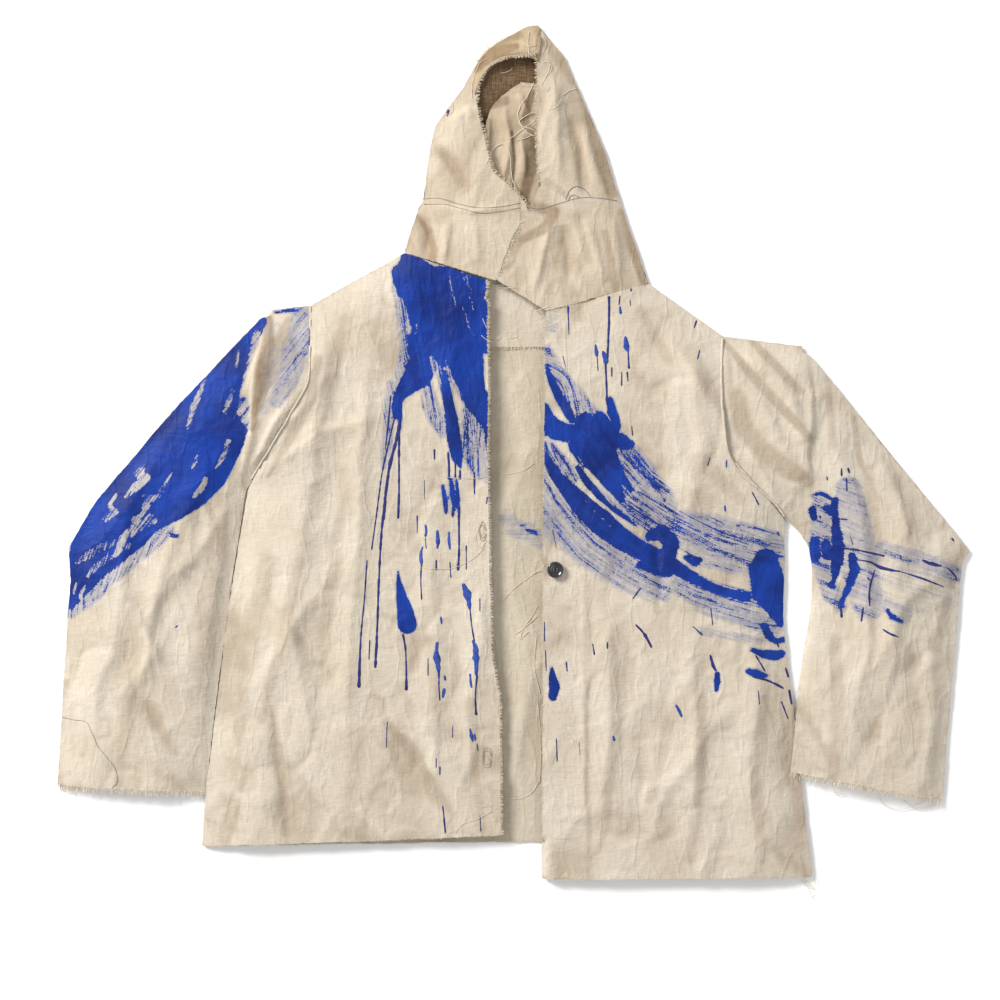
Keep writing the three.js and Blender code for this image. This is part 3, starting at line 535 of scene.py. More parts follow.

# Painted shade: the dark pleat at the cap and the folds down the sleeve.
(RIGHT_SLEEVE
 .shade(1.0, (-270, 148, 4.4), (-270, 118, 8.8), (-276, 85, 9.9), (-283, 49, 5.5), (-287, 25, 2.2))
 .shade(0.5, (-248, 148, 3.3), (-257, 124, 8.8), (-268, 80, 8.8))
 .shade(0.45, (-237, 56, 3.3), (-261, 8, 3.3))
 .shade(0.4, (-339, -52, 3.3), (-329, -74, 4.4), (-324, -102, 3.3))
 .shade(0.3, (-411, -206, 5.5), (-426, -294, 6.6), (-435, -366, 4.4))
 .shade(0.4, (-235, 63, 3.3), (-266, 1, 3.3))
 .shade(0.35, (-291, 14, 3.3), (-298, -39, 3.3))
 .shade(0.25, (-321, -52, 8.8), (-339, -162, 9.9), (-350, -272, 6.6))
 .shade(0.2, (-411, -162, 8.8), (-435, -272, 8.8)))

print("right sleeve", len(RIGHT_SLEEVE.marks), "strokes")

# %% [markdown]
# ## The left sleeve's paint
# The left sleeve has a small broken figure near its elbow and thin lines that run to the cuff.
# Its cap and its inner side get painted shade, for the deep folds there.
# %% The left sleeve's paint
LEFT_SLEEVE = Strokes([(304, -74), (370, -102), (431, -125), (519, -151)])
(LEFT_SLEEVE
 .wet((329, -47, 1.3), (337, -45, 1.5), (345, -48, 1.8), (354, -56, 1.7))
 .wet((329, -63, 4.4), (331, -72, 3.3), load=0.8)
 .wet((332, -98, 5.5), (332, -114, 6.6))
 .wet((344, -61, 3.3), (351, -65, 5.5), (354, -52, 3.3), load=0.8)
 .wet((354, -69, 3.3), (355, -85, 5), (357, -102, 6.6), (357, -116, 6.6), (353, -131, 5.5),
      (350, -147, 3.3))
 .wet((344, -102, 5.5), (346, -114, 5.5))
 .wet((372, -114, 4.4), (375, -129, 5.5), (369, -147, 3.9), (362, -162, 2.8), (360, -170, 2.2))
 .wet((410, -173, 2.2), (415, -180, 3.3), (427, -186, 1.7), load=0.4)
 .lift((348, -124, 1.1), (349, -140, 1.1), load=-0.1)
 .dry((368, -41, 13.2), (370, -69, 19.8), (377, -102, 19.8), (383, -135, 19.8),
      (390, -168, 15.4), load=-0.18, edge=5)
 .dry((339, -52, 8.8), (339, -85, 11), (339, -118, 11), (350, -157, 8.8),
      (361, -171, 4.4), load=-0.12, edge=4)
 .dry((403, -105, 6.6), (431, -114, 6.6), (464, -124, 6.6), (488, -134, 7.7), load=-0.12, edge=5)
 .dry((409, -169, 6.6), (431, -180, 6.6), load=-0.25, edge=5)
 .dry((403, -140, 33), (442, -140, 35.2), (475, -146, 28.6), load=-0.62, edge=12))

# Painted shade in the folds of the cap and the inner side.
(LEFT_SLEEVE
 .shade(0.55, (232, 122, 3.3), (265, 81, 5.5), (293, 51, 5.5), (325, 16, 4.4))
 .shade(0.55, (260, 127, 3.3), (283, 101, 5.5), (315, 67, 4.4))
 .shade(0.5, (245, 63, 8.8), (251, 30, 11), (271, 5, 9.9), (299, -17, 11), (324, -32, 6.6))
 .shade(0.35, (347, 86, 3.3), (350, 8, 4.4))
 .shade(0.4, (375, 40, 3.3), (381, -8, 3.3), (401, -52, 3.3))
 .shade(0.5, (420, -24, 1.7), (428, -58, 2.2), (436, -90, 1.1))
 .shade(0.35, (236, 122, 2.2), (239, 58, 3.3))
 .shade(0.4, (361, -151, 7.7), (355, -175, 3.3))
 .shade(0.35, (344, -63, 6.6), (344, -140, 6.6))
 .shade(0.3, (390, -19, 6.6), (399, -118, 7.7))
 .shade(0.4, (478, -162, 5.5), (465, -217, 5.5))
 .shade(0.45, (497, -105, 5.5), (482, -146, 4.4))
 .shade(0.3, (354, -206, 6.6), (357, -316, 8.8), (348, -366, 6.6))
 .shade(0.25, (431, -74, 3.3), (422, -30, 5.5)))
print("left sleeve", len(LEFT_SLEEVE.marks), "strokes")

# %% [markdown]
# ## The hood's painted shade
# The hood has almost no paint, but it has painted shade: round the face opening, over the crown
# and along the folds at the neck.
# %% The hood's painted shade
HOOD_RIGHT_MARKS = Strokes(DOWN)
(HOOD_RIGHT_MARKS
 .shade(0.7, (-107, 262, 2.2), (-94, 244, 3.9), (-87, 223, 4.4), (-91, 201, 3.9))
 .shade(0.4, (-117, 232, 5.5), (-105, 210, 4.4))
 .shade(0.25, (-72, 254, 4.4), (-70, 201, 4.4))
 .shade(0.3, (-64, 316, 8.8), (-81, 333, 6.6))
 .shade(0.25, (-48, 262, 1.7), (7, 267, 1.7)))
HOOD_LEFT_MARKS = Strokes(DOWN)
(HOOD_LEFT_MARKS
 .shade(0.75, (71, 410, 4.4), (89, 355, 7.7), (108, 289, 8.8))
 .shade(0.8, (124, 265, 6.6), (135, 223, 7.7), (144, 185, 3.3))
 .shade(0.7, (20, 271, 6.6), (46, 265, 5.5), (35, 247, 6.6), (9, 234, 4.4))
 .shade(0.4, (7, 234, 4.4), (-6, 203, 3.3))
 .shade(0.45, (100, 243, 3.3), (108, 210, 4.4), (113, 177, 4.4))
 .shade(0.35, (51, 234, 4.4), (38, 179, 5.5))
 .shade(0.5, (35, 454, 4.4), (53, 432, 6.6), (67, 408, 4.4))
 .shade(0.4, (36, 298, 4.4), (60, 282, 3.3))
 .shade(0.35, (69, 261, 3.3), (82, 212, 4.4)))
INNER_MARKS = Strokes(DOWN)
(INNER_MARKS
 .shade(0.8, (21, 397, 3.3), (12, 366, 4.4), (20, 353, 4.4))
 .shade(0.9, (18, 344, 6.6), (19, 316, 7.7), (12, 282, 5.5))
 .shade(1.0, (-2, 353, 1.7), (1, 322, 1.7), (-2, 291, 1.7))
 .shade(0.5, (-23, 383, 4.4), (-9, 388, 5.5))
 .shade(0.4, (-27, 366, 2.8), (-28, 316, 2.8)))
CROWN_MARKS = Strokes(DOWN)
(CROWN_MARKS
 .shade(0.9, (-41, 425, 6.6), (-32, 436, 8.8), (-15, 443, 7.7), (2, 447, 4.4))
 .shade(0.9, (-32, 430, 4.4), (-4, 435, 4.4), (25, 434, 5.5))
 .shade(0.5, (-15, 452, 5.5), (7, 460, 4.4)))

print("hood", sum(len(m.shades) for m in (HOOD_RIGHT_MARKS, HOOD_LEFT_MARKS)), "soiled places")

# %% [markdown]
# ## Paint inside the back
# One stray wipe of paint shows on the inside of the back, in the gap between the two fronts.
# %% Paint inside the back
BACK_INSIDE = Strokes([(-37, -85), (51, -85)])
(BACK_INSIDE
 .dry((-7, -72, 7.7), (2, -83, 9.9), (18, -89, 9.9), (30, -96, 8.8), load=-0.3, edge=6)
 .wet((9, -81, 1.7), (19, -86, 2.8), (26, -90, 1.7), load=0.15, edge=3))
print("inside the back", len(BACK_INSIDE.marks), "strokes")

# %% [markdown]
# ## Folds
# Laid canvas keeps long soft folds that run out from the armpits and hang down the panels. A
# fold is a path with a height and the width of its slope on either side, so a steep side next to
# a long one makes a pleat. A wandering offset keeps them from looking ruled.
# %% Folds
CRUMPLE = 0.9 * MM
WANDER_LONG, WANDER_SHORT = 9 * MM, 2.2 * MM  # how far a fold strays from its ruled path
FOLD_ENDS = 0.3  # share of its length over which a fold fades at each end
FOLD_SHAPE = 1.45  # between a round hump, 2, and a sharp one, 1
RIDGE_WIDTH = 2.2


def ridges(x, y, size, seed, angle, sharp=2.0):
    """Thin raised lines, as where canvas was crushed and never pressed."""
    u = x * math.cos(angle) - y * math.sin(angle)
    v = x * math.sin(angle) + y * math.cos(angle)
    return np.clip(1 - RIDGE_WIDTH * np.abs(noise(u, v, size, seed)), 0, 1) ** sharp


def crumple(x, y, seed):
    """Long soft waves, and ridges of three sizes that cross at odd angles."""
    long = noise(x * 1.5, y * 0.6, 0.06, seed)
    bold = ridges(x, y * 0.75, 0.062, seed + 1, 0.5) - ridges(x, y * 0.8, 0.055, seed + 2, 2.0)
    small = ridges(x, y, 0.027, seed + 3, 1.1) - ridges(x, y, 0.024, seed + 4, 0.2)
    fine = ridges(x, y, 0.012, seed + 5, 2.6, 1.0)
    return 1.2 * long + 1.5 * bold + 0.62 * small + 0.2 * fine


class Folds:
    """The folds of one cloth, and how crumpled it is between them."""

    def __init__(self, crumple=1.0, seed=1):
        self.lines, self.crumple, self.seed = [], crumple, seed

    def fold(self, height, left, right, *path):
        self.lines.append((height * MM, left * MM, right * MM, np.array(path, float) * MM))
        return self

    def height(self, spots):
        x, y = spots[:, 0], spots[:, 1]
        bend = np.column_stack([noise(x, y, 0.07, 3), noise(x, y, 0.07, 4)]) * WANDER_LONG
        bend += np.column_stack([noise(x, y, 0.025, 5), noise(x, y, 0.025, 6)]) * WANDER_SHORT
        moved = spots + bend
        rise = np.zeros(len(spots))
        for height, left, right, path in self.lines:
            run, off, _, _ = along(path, moved)
            length = np.hypot(*np.diff(path[:, :2], axis=0).T).sum()
            taper = soft(np.minimum(run, length - run) / (FOLD_ENDS * length))
            slope = np.where(off > 0, left, right)
            rise += height * taper * np.exp(-np.abs(off / slope) ** FOLD_SHAPE)
        if self.crumple:
            rise += CRUMPLE * self.crumple * crumple(moved[:, 0], moved[:, 1], self.seed * 10)
        return rise


print("a crumpled spot rises", round(float(crumple(0.1, 0.1, 1)) * CRUMPLE / MM, 2), "mm")

# %% [markdown]
# ## Folds of the fronts
# Each line of a table is a height in millimetres, the width of its left and its right slope,
# and its path. The fronts' folds fan out from the armpits and then hang to the hem.
# %% Folds of the fronts
FOLDS = {}
FOLDS["front_right"] = (Folds(seed=1)
    .fold(4.5, 10, 20, (-292, -30), (-240, 58), (-185, 140))
    .fold(3.5, 9, 16, (-288, -43), (-213, 14), (-130, 47))
    .fold(4.5, 12, 22, (-202, 168), (-211, 36), (-235, -118), (-270, -294))
    .fold(4.0, 12, 20, (-156, 179), (-160, 3), (-178, -173), (-185, -421))
    .fold(3.5, 10, 16, (-306, -118), (-246, -206), (-207, -349))
    .fold(3.5, 9, 18, (-310, -294), (-240, -184), (-178, -85))
    .fold(-3.2, 7, 12, (-144, -292), (-92, -355), (-57, -410))
    .fold(3.0, 10, 14, (-90, -19), (-97, -162), (-87, -272), (-75, -421))
    .fold(2.4, 8, 14, (-68, 179), (-70, 58), (-57, -74))
    .fold(-3.0, 8, 8, (-277, -272), (-257, -338), (-246, -432))
    .fold(2.6, 6, 12, (-37, -118), (-48, -261), (-39, -382)))
FOLDS["front_left"] = (Folds(seed=2)
    .fold(4.5, 18, 10, (299, -65), (244, 3), (194, 91), (161, 146))
    .fold(3.5, 14, 9, (296, -74), (227, -50), (150, -19))
    .fold(-3.0, 4, 7, (150, -19), (155, -102), (156, -182))
    .fold(3.0, 14, 10, (205, 157), (202, 3), (192, -129))
    .fold(3.4, 12, 18, (102, -118), (108, -272), (95, -459))
    .fold(4.0, 10, 20, (185, -151), (207, -294), (194, -465))
    .fold(3.8, 12, 18, (273, -173), (258, -327), (273, -461))
    .fold(3.0, 9, 14, (251, -261), (167, -371), (137, -459))
    .fold(2.6, 9, 14, (42, 113), (95, 14), (183, -74))
    .fold(1.3, 1.5, 12, (80, -96), (78, -272), (84, -472))
    .fold(-2.6, 7, 7, (315, -206), (304, -316), (321, -437)))
print("front folds", [len(f.lines) for f in FOLDS.values()])

# %% [markdown]
# ## Folds of the sleeves
# A sleeve bends at the elbow, so its folds run from the shoulder and gather on the inner side.
# The pleat where it meets the body is steep on one side and long on the other.
# %% Folds of the sleeves
FOLDS["sleeve_right"] = (Folds(seed=3)
    .fold(3.4, 1.6, 26, (-298, -43), (-281, 58), (-270, 162))
    .fold(5.0, 12, 22, (-290, 47), (-345, -41), (-400, -162), (-424, -366))
    .fold(4.5, 10, 18, (-305, -19), (-327, -162), (-343, -371))
    .fold(4.2, 10, 18, (-389, 25), (-431, -118), (-455, -261), (-470, -366))
    .fold(3.0, 8, 14, (-301, -58), (-356, -124), (-435, -206))
    .fold(3.4, 8, 14, (-497, -102), (-433, -162), (-367, -261))
    .fold(-2.6, 7, 9, (-488, -190), (-422, -234), (-358, -349))
    .fold(3.4, 4, 6, (-288, -28), (-266, 14), (-239, 67))
    .fold(2.6, 3, 5, (-290, -19), (-283, 25), (-268, 49)))
FOLDS["sleeve_left"] = (Folds(seed=4)
    .fold(5.5, 12, 17, (236, 126), (295, 67), (339, -10))
    .fold(5.0, 10, 16, (235, 80), (288, 25), (332, -43))
    .fold(3.5, 9, 12, (255, 129), (299, 111), (328, 74))
    .fold(3.2, 20, 1.6, (328, -52), (333, 58), (317, 122))
    .fold(5.0, 14, 22, (372, 113), (405, 3), (432, -96), (423, -217), (403, -373))
    .fold(4.2, 9, 16, (344, 80), (370, -30), (394, -162), (370, -360))
    .fold(4.0, 10, 14, (493, -118), (438, -164), (390, -261))
    .fold(-3.0, 8, 10, (482, -206), (427, -250), (379, -349))
    .fold(3.0, 4, 7, (302, -70), (282, -28), (249, 14))
    .fold(3.0, 8, 12, (453, -184), (464, -272), (458, -382)))
print("sleeve folds", len(FOLDS["sleeve_right"].lines), len(FOLDS["sleeve_left"].lines))

# %% [markdown]
# ## Folds of the hood and the back
# The hood is gathered where it meets its band and falls over its own opening. The back lies
# flat on the table, and only two slack folds show between the fronts. Hidden cloths stay flat.
# %% Folds of the hood and the back
FOLDS["hood_right"] = (Folds(crumple=0.7, seed=5)
    .fold(-4.0, 3, 8, (-107, 265), (-92, 238), (-87, 203))
    .fold(1.8, 1.5, 6, (-105, 273), (-48, 263), (7, 270))
    .fold(2.6, 7, 9, (-74, 261), (-72, 199))
    .fold(2.2, 5, 8, (-43, 261), (-39, 195))
    .fold(-2.5, 5, 9, (-90, 344), (-68, 311), (-43, 282))
    .fold(2.6, 4, 8, (-76, 368), (-57, 379), (-43, 368)))
FOLDS["hood_left"] = (Folds(crumple=0.8, seed=6)
    .fold(3.5, 6, 10, (51, 261), (29, 217), (18, 168))
    .fold(3.5, 7, 12, (82, 265), (95, 217), (102, 168))
    .fold(-2.8, 6, 8, (62, 261), (64, 168))
    .fold(3.0, 6, 10, (117, 272), (115, 179))
    .fold(3.5, 6, 12, (42, 432), (58, 366), (56, 287))
    .fold(3.5, 6, 9, (82, 368), (95, 322), (108, 282))
    .fold(-3.0, 6, 6, (71, 377), (82, 333), (84, 282)))
FOLDS["inner"] = (Folds(crumple=0.8, seed=7)
    .fold(3.5, 3, 7, (-24, 377), (-27, 344), (-24, 300))
    .fold(4.0, 4, 6, (-9, 388), (-4, 344), (-6, 289))
    .fold(3.5, 3, 6, (7, 399), (16, 377), (25, 368))
    .fold(3.0, 3, 6, (5, 353), (16, 327), (18, 294)))
FOLDS["crown"] = (Folds(crumple=0.8, seed=11)
    .fold(3.0, 2, 5, (-30, 436), (-9, 441), (25, 443))
    .fold(2.5, 3, 4, (-9, 452), (7, 446), (25, 449))
    .fold(2.0, 2, 3, (26, 467), (26, 437)))
FOLDS["back"] = (Folds(crumple=0.5, seed=8)
    .fold(1.8, 9, 14, (7, 135), (3, -118), (13, -426))
    .fold(1.6, 6, 9, (27, -206), (7, -316), (25, -404)))
FOLDS["flat"] = Folds(crumple=0.0, seed=9)
print("fold tables", list(FOLDS))

# %% [markdown]
# ## Heights from the solids
# Each spot of a cloth is dropped onto the packed solids that it stands for. Their tops are plain
# slabs, so the height is evened over a ring of places, and the cloth runs softly over the steps.
# %% Heights from the solids
DROP = Vector((0, 0, -1))
ABOVE = 0.1  # a height over everything, to look down from
RING = [(0, 0)] + [(math.cos(a) * k, math.sin(a) * k)
                   for k in (0.5, 1.0) for a in np.arange(0, 6.28, 1.0472)]


def tree_of(nodes):
    spots, faces = [], []
    for node in nodes:
        more, tops = top_faces(node)
        faces += [[i + len(spots) for i in f] for f in tops]
        spots += more
    return BVHTree.FromPolygons(spots, faces)


def height_at(tree, x, y):
    hit = tree.ray_cast(Vector((x, y, ABOVE)), DROP)[0]
    if hit is None:
        hit = tree.find_nearest(Vector((x, y, CANVAS_TOP)))[0]
    return hit.z


def lay(tree, spots, spread):
    """Height of the solids under each spot, evened over a ring of places round it."""
    ring = [(dx * spread, dy * spread) for dx, dy in RING]
    return np.array([sum(height_at(tree, x + dx, y + dy) for dx, dy in ring) / len(ring)
                     for x, y in spots])


print("a front lies", round(height_at(tree_of(["front_panel_left"]), 0.15, 0.0) / MM, 1), "mm up")


# %% [markdown]
# ## The cut edge
# Canvas cut with shears frays a little at once. The rim is nibbled by a few tenths of a
# millimetre with two sizes of noise. A second helper says which spots lie inside a rim.
# %% The cut edge
NIBBLE_FINE, NIBBLE_LONG = 0.35 * MM, 0.5 * MM


def outward(loop, span):
    """The direction square to a rim at each of its points, to the right of the way round."""
    ahead = np.roll(loop, -span, 0) - np.roll(loop, span, 0)
    return np.column_stack([ahead[:, 1], -ahead[:, 0]]) / np.hypot(*ahead.T)[:, None]


def inside(loop, spots):
    x, y = spots[:, 0], spots[:, 1]
    odd = np.zeros(len(spots), bool)
    for (ax, ay), (bx, by) in zip(loop, np.roll(loop, -1, 0)):
        if ay == by:
            continue
        cross = ((ay > y) != (by > y)) & (x < (bx - ax) * (y - ay) / (by - ay) + ax)
        odd ^= cross
    return odd


def fray(loop, seed):
    """Nibbles a cut edge by a few tenths of a millimetre."""
    run = np.arange(len(loop)) * STEP
    size = NIBBLE_FINE * noise(run, run * 0, 0.004, seed)
    size = size + NIBBLE_LONG * noise(run, run * 0, 0.03, seed + 1)
    return loop + outward(loop, 1) * size[:, None]


print("the facing is nibbled along", len(fray(cut_outline("back_neck_facing"), 1)), "points")

# %% [markdown]
# ## Edges that turn down
# Where a cloth is sewn or folded to the layer below, it curves down to it over about a
# centimetre. Such an edge has nothing of the smock beyond it. The hems are open, so they don't
# turn down, and they are told apart because they face the wearer's feet.
# %% Edges that turn down
EDGE_ROLL, EDGE_LOW, BEYOND = 11 * MM, 2.5 * MM, 7 * MM
EDGE_UNEVEN = 1.2 * MM
HEM_FACING = -0.86
EVERYTHING = tree_of([n for n in frame["nodes"] if n not in ("button", "button_thread")])


def roll_edges(loop, spots, z, low):
    """Lets the cloth turn down to the layer below where nothing of the smock lies beyond its rim."""
    x, y = loop[:, 0], loop[:, 1]
    side = np.sign(np.dot(x, np.roll(y, -1)) - np.dot(y, np.roll(x, -1)))
    out = outward(loop, TURN_SPAN) * side
    beyond = loop + out * BEYOND
    open_rim = [spot for spot, (bx, by), (_, down) in zip(loop, beyond, out)
                if down > HEM_FACING and EVERYTHING.ray_cast(Vector((bx, by, ABOVE)), DROP)[0] is None]
    if not open_rim:
        return z
    near = KDTree(len(open_rim))
    for i, (px, py) in enumerate(open_rim):
        near.insert((px, py, 0), i)
    near.balance()
    far = np.array([near.find((px, py, 0))[2] for px, py in spots])
    turn = np.sqrt(1 - (1 - np.clip(far / EDGE_ROLL, 0, 1)) ** 2)
    low = low + EDGE_UNEVEN * np.abs(noise(spots[:, 0], spots[:, 1], 0.03, 77))
    return np.where(z > low, low + (z - low) * turn, z)


print("looking for the smock beyond each rim,", BEYOND / MM, "mm out")

# %% [markdown]
# ## A net of triangles
# The inside of a rim is filled with an even net of small triangles, set back a little from the
# rim's own points. Triangles outside the rim, and slivers with no area, are dropped.
# %% A net of triangles
TRIANGLE_HEIGHT = 0.866  # of an equal-sided triangle with sides of 1
SET_BACK = 0.62  # how far the net keeps off the rim, in net steps
SLIVER = 1e-9
MERGE = 1e-6


def to_rim(loop, spots):
    """How far each spot is from a rim."""
    return along(np.vstack([loop, loop[:1]]), spots)[2]


def filled(loop, net):
    """The spots and the triangles of a flat cloth inside a rim."""
    low, high = loop.min(0), loop.max(0)
    grid = []
    for k, y in enumerate(np.arange(low[1], high[1], net * TRIANGLE_HEIGHT)):
        x = np.arange(low[0] + (k % 2) * net / 2, high[0], net)
        grid.append(np.column_stack([x, np.full(len(x), y)]))
    fill = np.vstack(grid)
    fill = fill[inside(loop, fill)]
    fill = fill[to_rim(loop, fill) > net * SET_BACK]
    count = len(loop)
    rim = [(i, (i + 1) % count) for i in range(count)]
    spots = [Vector(s) for s in np.vstack([loop, fill])]
    made = geometry.delaunay_2d_cdt(spots, rim, [], 1, MERGE, False)
    spots = np.array([tuple(v) for v in made[0]])
    faces = np.array([list(f) for f in made[2]])
    faces = faces[inside(loop, spots[faces].mean(1))]
    sides = np.diff(spots[faces][:, [0, 1, 2, 0]], axis=1)
    turn = sides[:, 0, 0] * sides[:, 1, 1] - sides[:, 0, 1] * sides[:, 1, 0]
    return spots, faces[turn > SLIVER].tolist()


print("a net of 20 mm fills the facing with", len(filled(cut_outline("back_neck_facing"), 20 * MM)[1]),
      "triangles")

# %% [markdown]
# ## A real thickness
# The net is the top of the cloth. The same net 0.8 mm lower, turned over, and a wall round the
# rim close it. The flat position of every corner is kept as a UV map, so that the weave goes with
# the cloth when it turns, and a second map runs along the brush. Paint stays on the outside.
# %% A real thickness
THICK = 0.8 * MM
SHARP = math.radians(50)
CLOTHS, RIMS = {}, {}


def link(name, mesh):
    """Puts a mesh into the scene, shaded smooth."""
    mesh.polygons.foreach_set("use_smooth", [True] * len(mesh.polygons))
    mesh.update()
    piece = bpy.data.objects.new(name, mesh)
    scene.collection.objects.link(piece)
    return piece


def add_map(mesh, label, pairs):
    """A UV map from one pair of numbers for each corner of the mesh."""
    index = np.zeros(len(mesh.loops), int)
    mesh.loops.foreach_get("vertex_index", index)
    layer = mesh.uv_layers.new(name=label)
    layer.data.foreach_set("uv", np.asarray(pairs)[index].astype(np.float32).ravel())


def solid_cloth(name, spots, z, faces, run, off, loop, marks):
    total = len(spots)
    tops = np.column_stack([spots, np.maximum(z, THICK)])  # nothing dips below the table
    walls = [[b, a, a + total, b + total] for a, b in open_edges(faces)]
    unders = [[i + total for i in reversed(f)] for f in faces]
    corners = np.vstack([tops, tops - (0, 0, THICK)])
    mesh = bpy.data.meshes.new(name)
    mesh.from_pydata(corners.tolist(), [], faces + unders + walls)
    for label, values in marks.items():
        beneath = values * 0 if label == "paint" else values
        both = np.concatenate([values, beneath]).astype(np.float32)
        mesh.attributes.new(label, "FLOAT", "POINT").data.foreach_set("value", both)
    for label, pair in (("weave", spots), ("stroke", np.column_stack([run, off]))):
        add_map(mesh, label, np.vstack([pair, pair]))
    cloth = link(name, mesh)
    mesh.set_sharp_from_angle(angle=SHARP)
    CLOTHS[name] = cloth
    RIMS[name] = np.column_stack([loop, loop[:, 0] * 0])
    cloth["flat_area"] = area_of(loop)
    print(name, len(faces) * 2, "faces", round(area_of(loop), 4), "m2")
    return cloth


print("canvas", THICK / MM, "mm thick")

# %% [markdown]
# ## A cloth from its outline
# Here the steps come together: rim, net, height from the solids, folds where there is room for
# them, and edges turned down. Next to the shape, each corner keeps how much paint it has, how far
# it is from the rim, how deep in a hollow it lies, for painted shade there, and how much painted
# shade its strokes give it.
# %% A cloth from its outline
ROOM_FROM, ROOM_RUN = 2.6 * MM, 6 * MM  # a cloth folds freely only where it lies high enough
HOLLOW_START, HOLLOW_DEPTH = 0.42, 4.2 * MM
STRIP, STRIP_FADE = 0.10, 0.05


def make_cloth(name, nodes, folds, strokes=BARE, net=2.8 * MM, spread=16 * MM, room=None, base=0.0,
               outline=None):
    if outline is None:
        loop = cut_outline(*nodes)
    else:
        loop = rounded(resample(np.array(outline, float) * MM, STEP), OWN_PASSES, OWN_TURN)
    loop = fray(loop, len(CLOTHS) * 3)
    spots, faces = filled(loop, net)
    z = lay(tree_of(nodes), spots, spread) + base
    spare = soft((z - ROOM_FROM) / ROOM_RUN) if room is None else room(spots)
    rise = FOLDS[folds].height(spots)
    z = roll_edges(loop, spots, z + rise * spare, EDGE_LOW + base)
    paint, run, off = strokes.field(spots)
    # How deep in a fold's hollow a spot lies; the finish paints shade there.
    hollow = np.clip(HOLLOW_START - rise / HOLLOW_DEPTH, 0, 1)
    return solid_cloth(name, spots, z, faces, run, off, loop,
                       {"paint": paint + PAINT_ZERO, "rim": to_rim(loop, spots),
                        "hollow": hollow, "soil": strokes.soil(spots)})


def strip_room(spots):
    """The inside of the back may rise only in the open strip between the two fronts."""
    return soft((STRIP - np.abs(spots[:, 0])) / STRIP_FADE)


print("cloths fold where they lie over", ROOM_FROM / MM, "mm")

# %% [markdown]
# ## The back and the fronts
# The back is one panel with a facing at its neck. Each front is one cloth over its fixed and its
# folding slab. Cloths that hardly show get a coarser net.
# %% The back and the fronts
CLOSE = 1 * MM  # how far the heights are evened where a cloth lies flat
COARSE = 5.0 * MM
make_cloth("back_cloth", ["back_panel"], "back", BACK_INSIDE, net=4 * MM, spread=CLOSE,
           room=strip_room)
make_cloth("neck_facing_cloth", ["back_neck_facing"], "flat", spread=CLOSE)
make_cloth("front_right_cloth", ["front_panel_right", "lapel_right"], "front_right", RIGHT_FRONT)
make_cloth("front_left_cloth", ["front_panel_left", "lapel_left"], "front_left", LEFT_FRONT)
make_cloth("front_facing_cloth", ["front_facing_left"], "flat", net=COARSE, spread=CLOSE)

# %% [markdown]
# ## The sleeves
# A sleeve is a tube that lies flat, so it is a painted front half over a plain back half.
# %% The sleeves
SLEEVE_EASE = 9 * MM
make_cloth("sleeve_right_cloth", ["sleeve_cap_right_front", "sleeve_right_front"],
           "sleeve_right", RIGHT_SLEEVE, spread=SLEEVE_EASE)
make_cloth("sleeve_right_under", ["sleeve_cap_right_back", "sleeve_right_back"], "flat",
           net=COARSE, spread=CLOSE)
make_cloth("sleeve_left_cloth", ["sleeve_cap_left_front", "sleeve_left_front"],
           "sleeve_left", LEFT_SLEEVE, spread=SLEEVE_EASE)
make_cloth("sleeve_left_under", ["sleeve_cap_left_back", "sleeve_left_back"], "flat",
           net=COARSE, spread=CLOSE)

# %% [markdown]
# ## The hood
# The hood is two sides on a band, a back seen through the face opening, a crumpled fold inside
# it, and the raw seam allowance that lies over the crown. The last two have outlines of their
# own, in millimetres.
# %% The hood
HOOD_NET, SMALL_NET = 2.2 * MM, 1.8 * MM
HOOD_EASE, CROWN_EASE, INNER_EASE = 5 * MM, 3 * MM, 9 * MM
CROWN_BASE = 1.3 * MM  # the seam allowance lies on top of the hood's side
make_cloth("hood_back_cloth", ["hood_band_back", "hood_back"], "flat", net=3 * MM, spread=CLOSE)
INNER_FOLD = [(-32, 342), (-30, 320), (-24, 302), (-9, 287), (5, 276), (16, 267), (29, 276), (30, 405),
              (9, 409), (-6, 399), (-21, 386), (-28, 372), (-31, 357)]
CROWN = [(-48, 408), (-43, 394), (-38, 410), (-30, 422), (-20, 430), (-6, 434), (7, 435), (20, 435),
         (27, 430), (30, 454), (28, 471), (18, 471), (4, 464), (-12, 455), (-26, 446), (-36, 435),
         (-43, 424)]
make_cloth("hood_inner_cloth", ["hood_inner_fold"], "inner", INNER_MARKS, net=SMALL_NET,
           spread=INNER_EASE, outline=INNER_FOLD, room=lambda spots: 1.0)
make_cloth("hood_crown_cloth", ["hood_side_right"], "crown", CROWN_MARKS, net=SMALL_NET,
           spread=CROWN_EASE, base=CROWN_BASE, outline=CROWN, room=lambda spots: 0.5)
make_cloth("hood_left_cloth", ["hood_band_left", "hood_side_left"], "hood_left", HOOD_LEFT_MARKS,
           net=HOOD_NET, spread=HOOD_EASE)
make_cloth("hood_right_cloth", ["hood_band_right", "hood_side_right"], "hood_right",
           HOOD_RIGHT_MARKS, net=HOOD_NET, spread=HOOD_EASE)

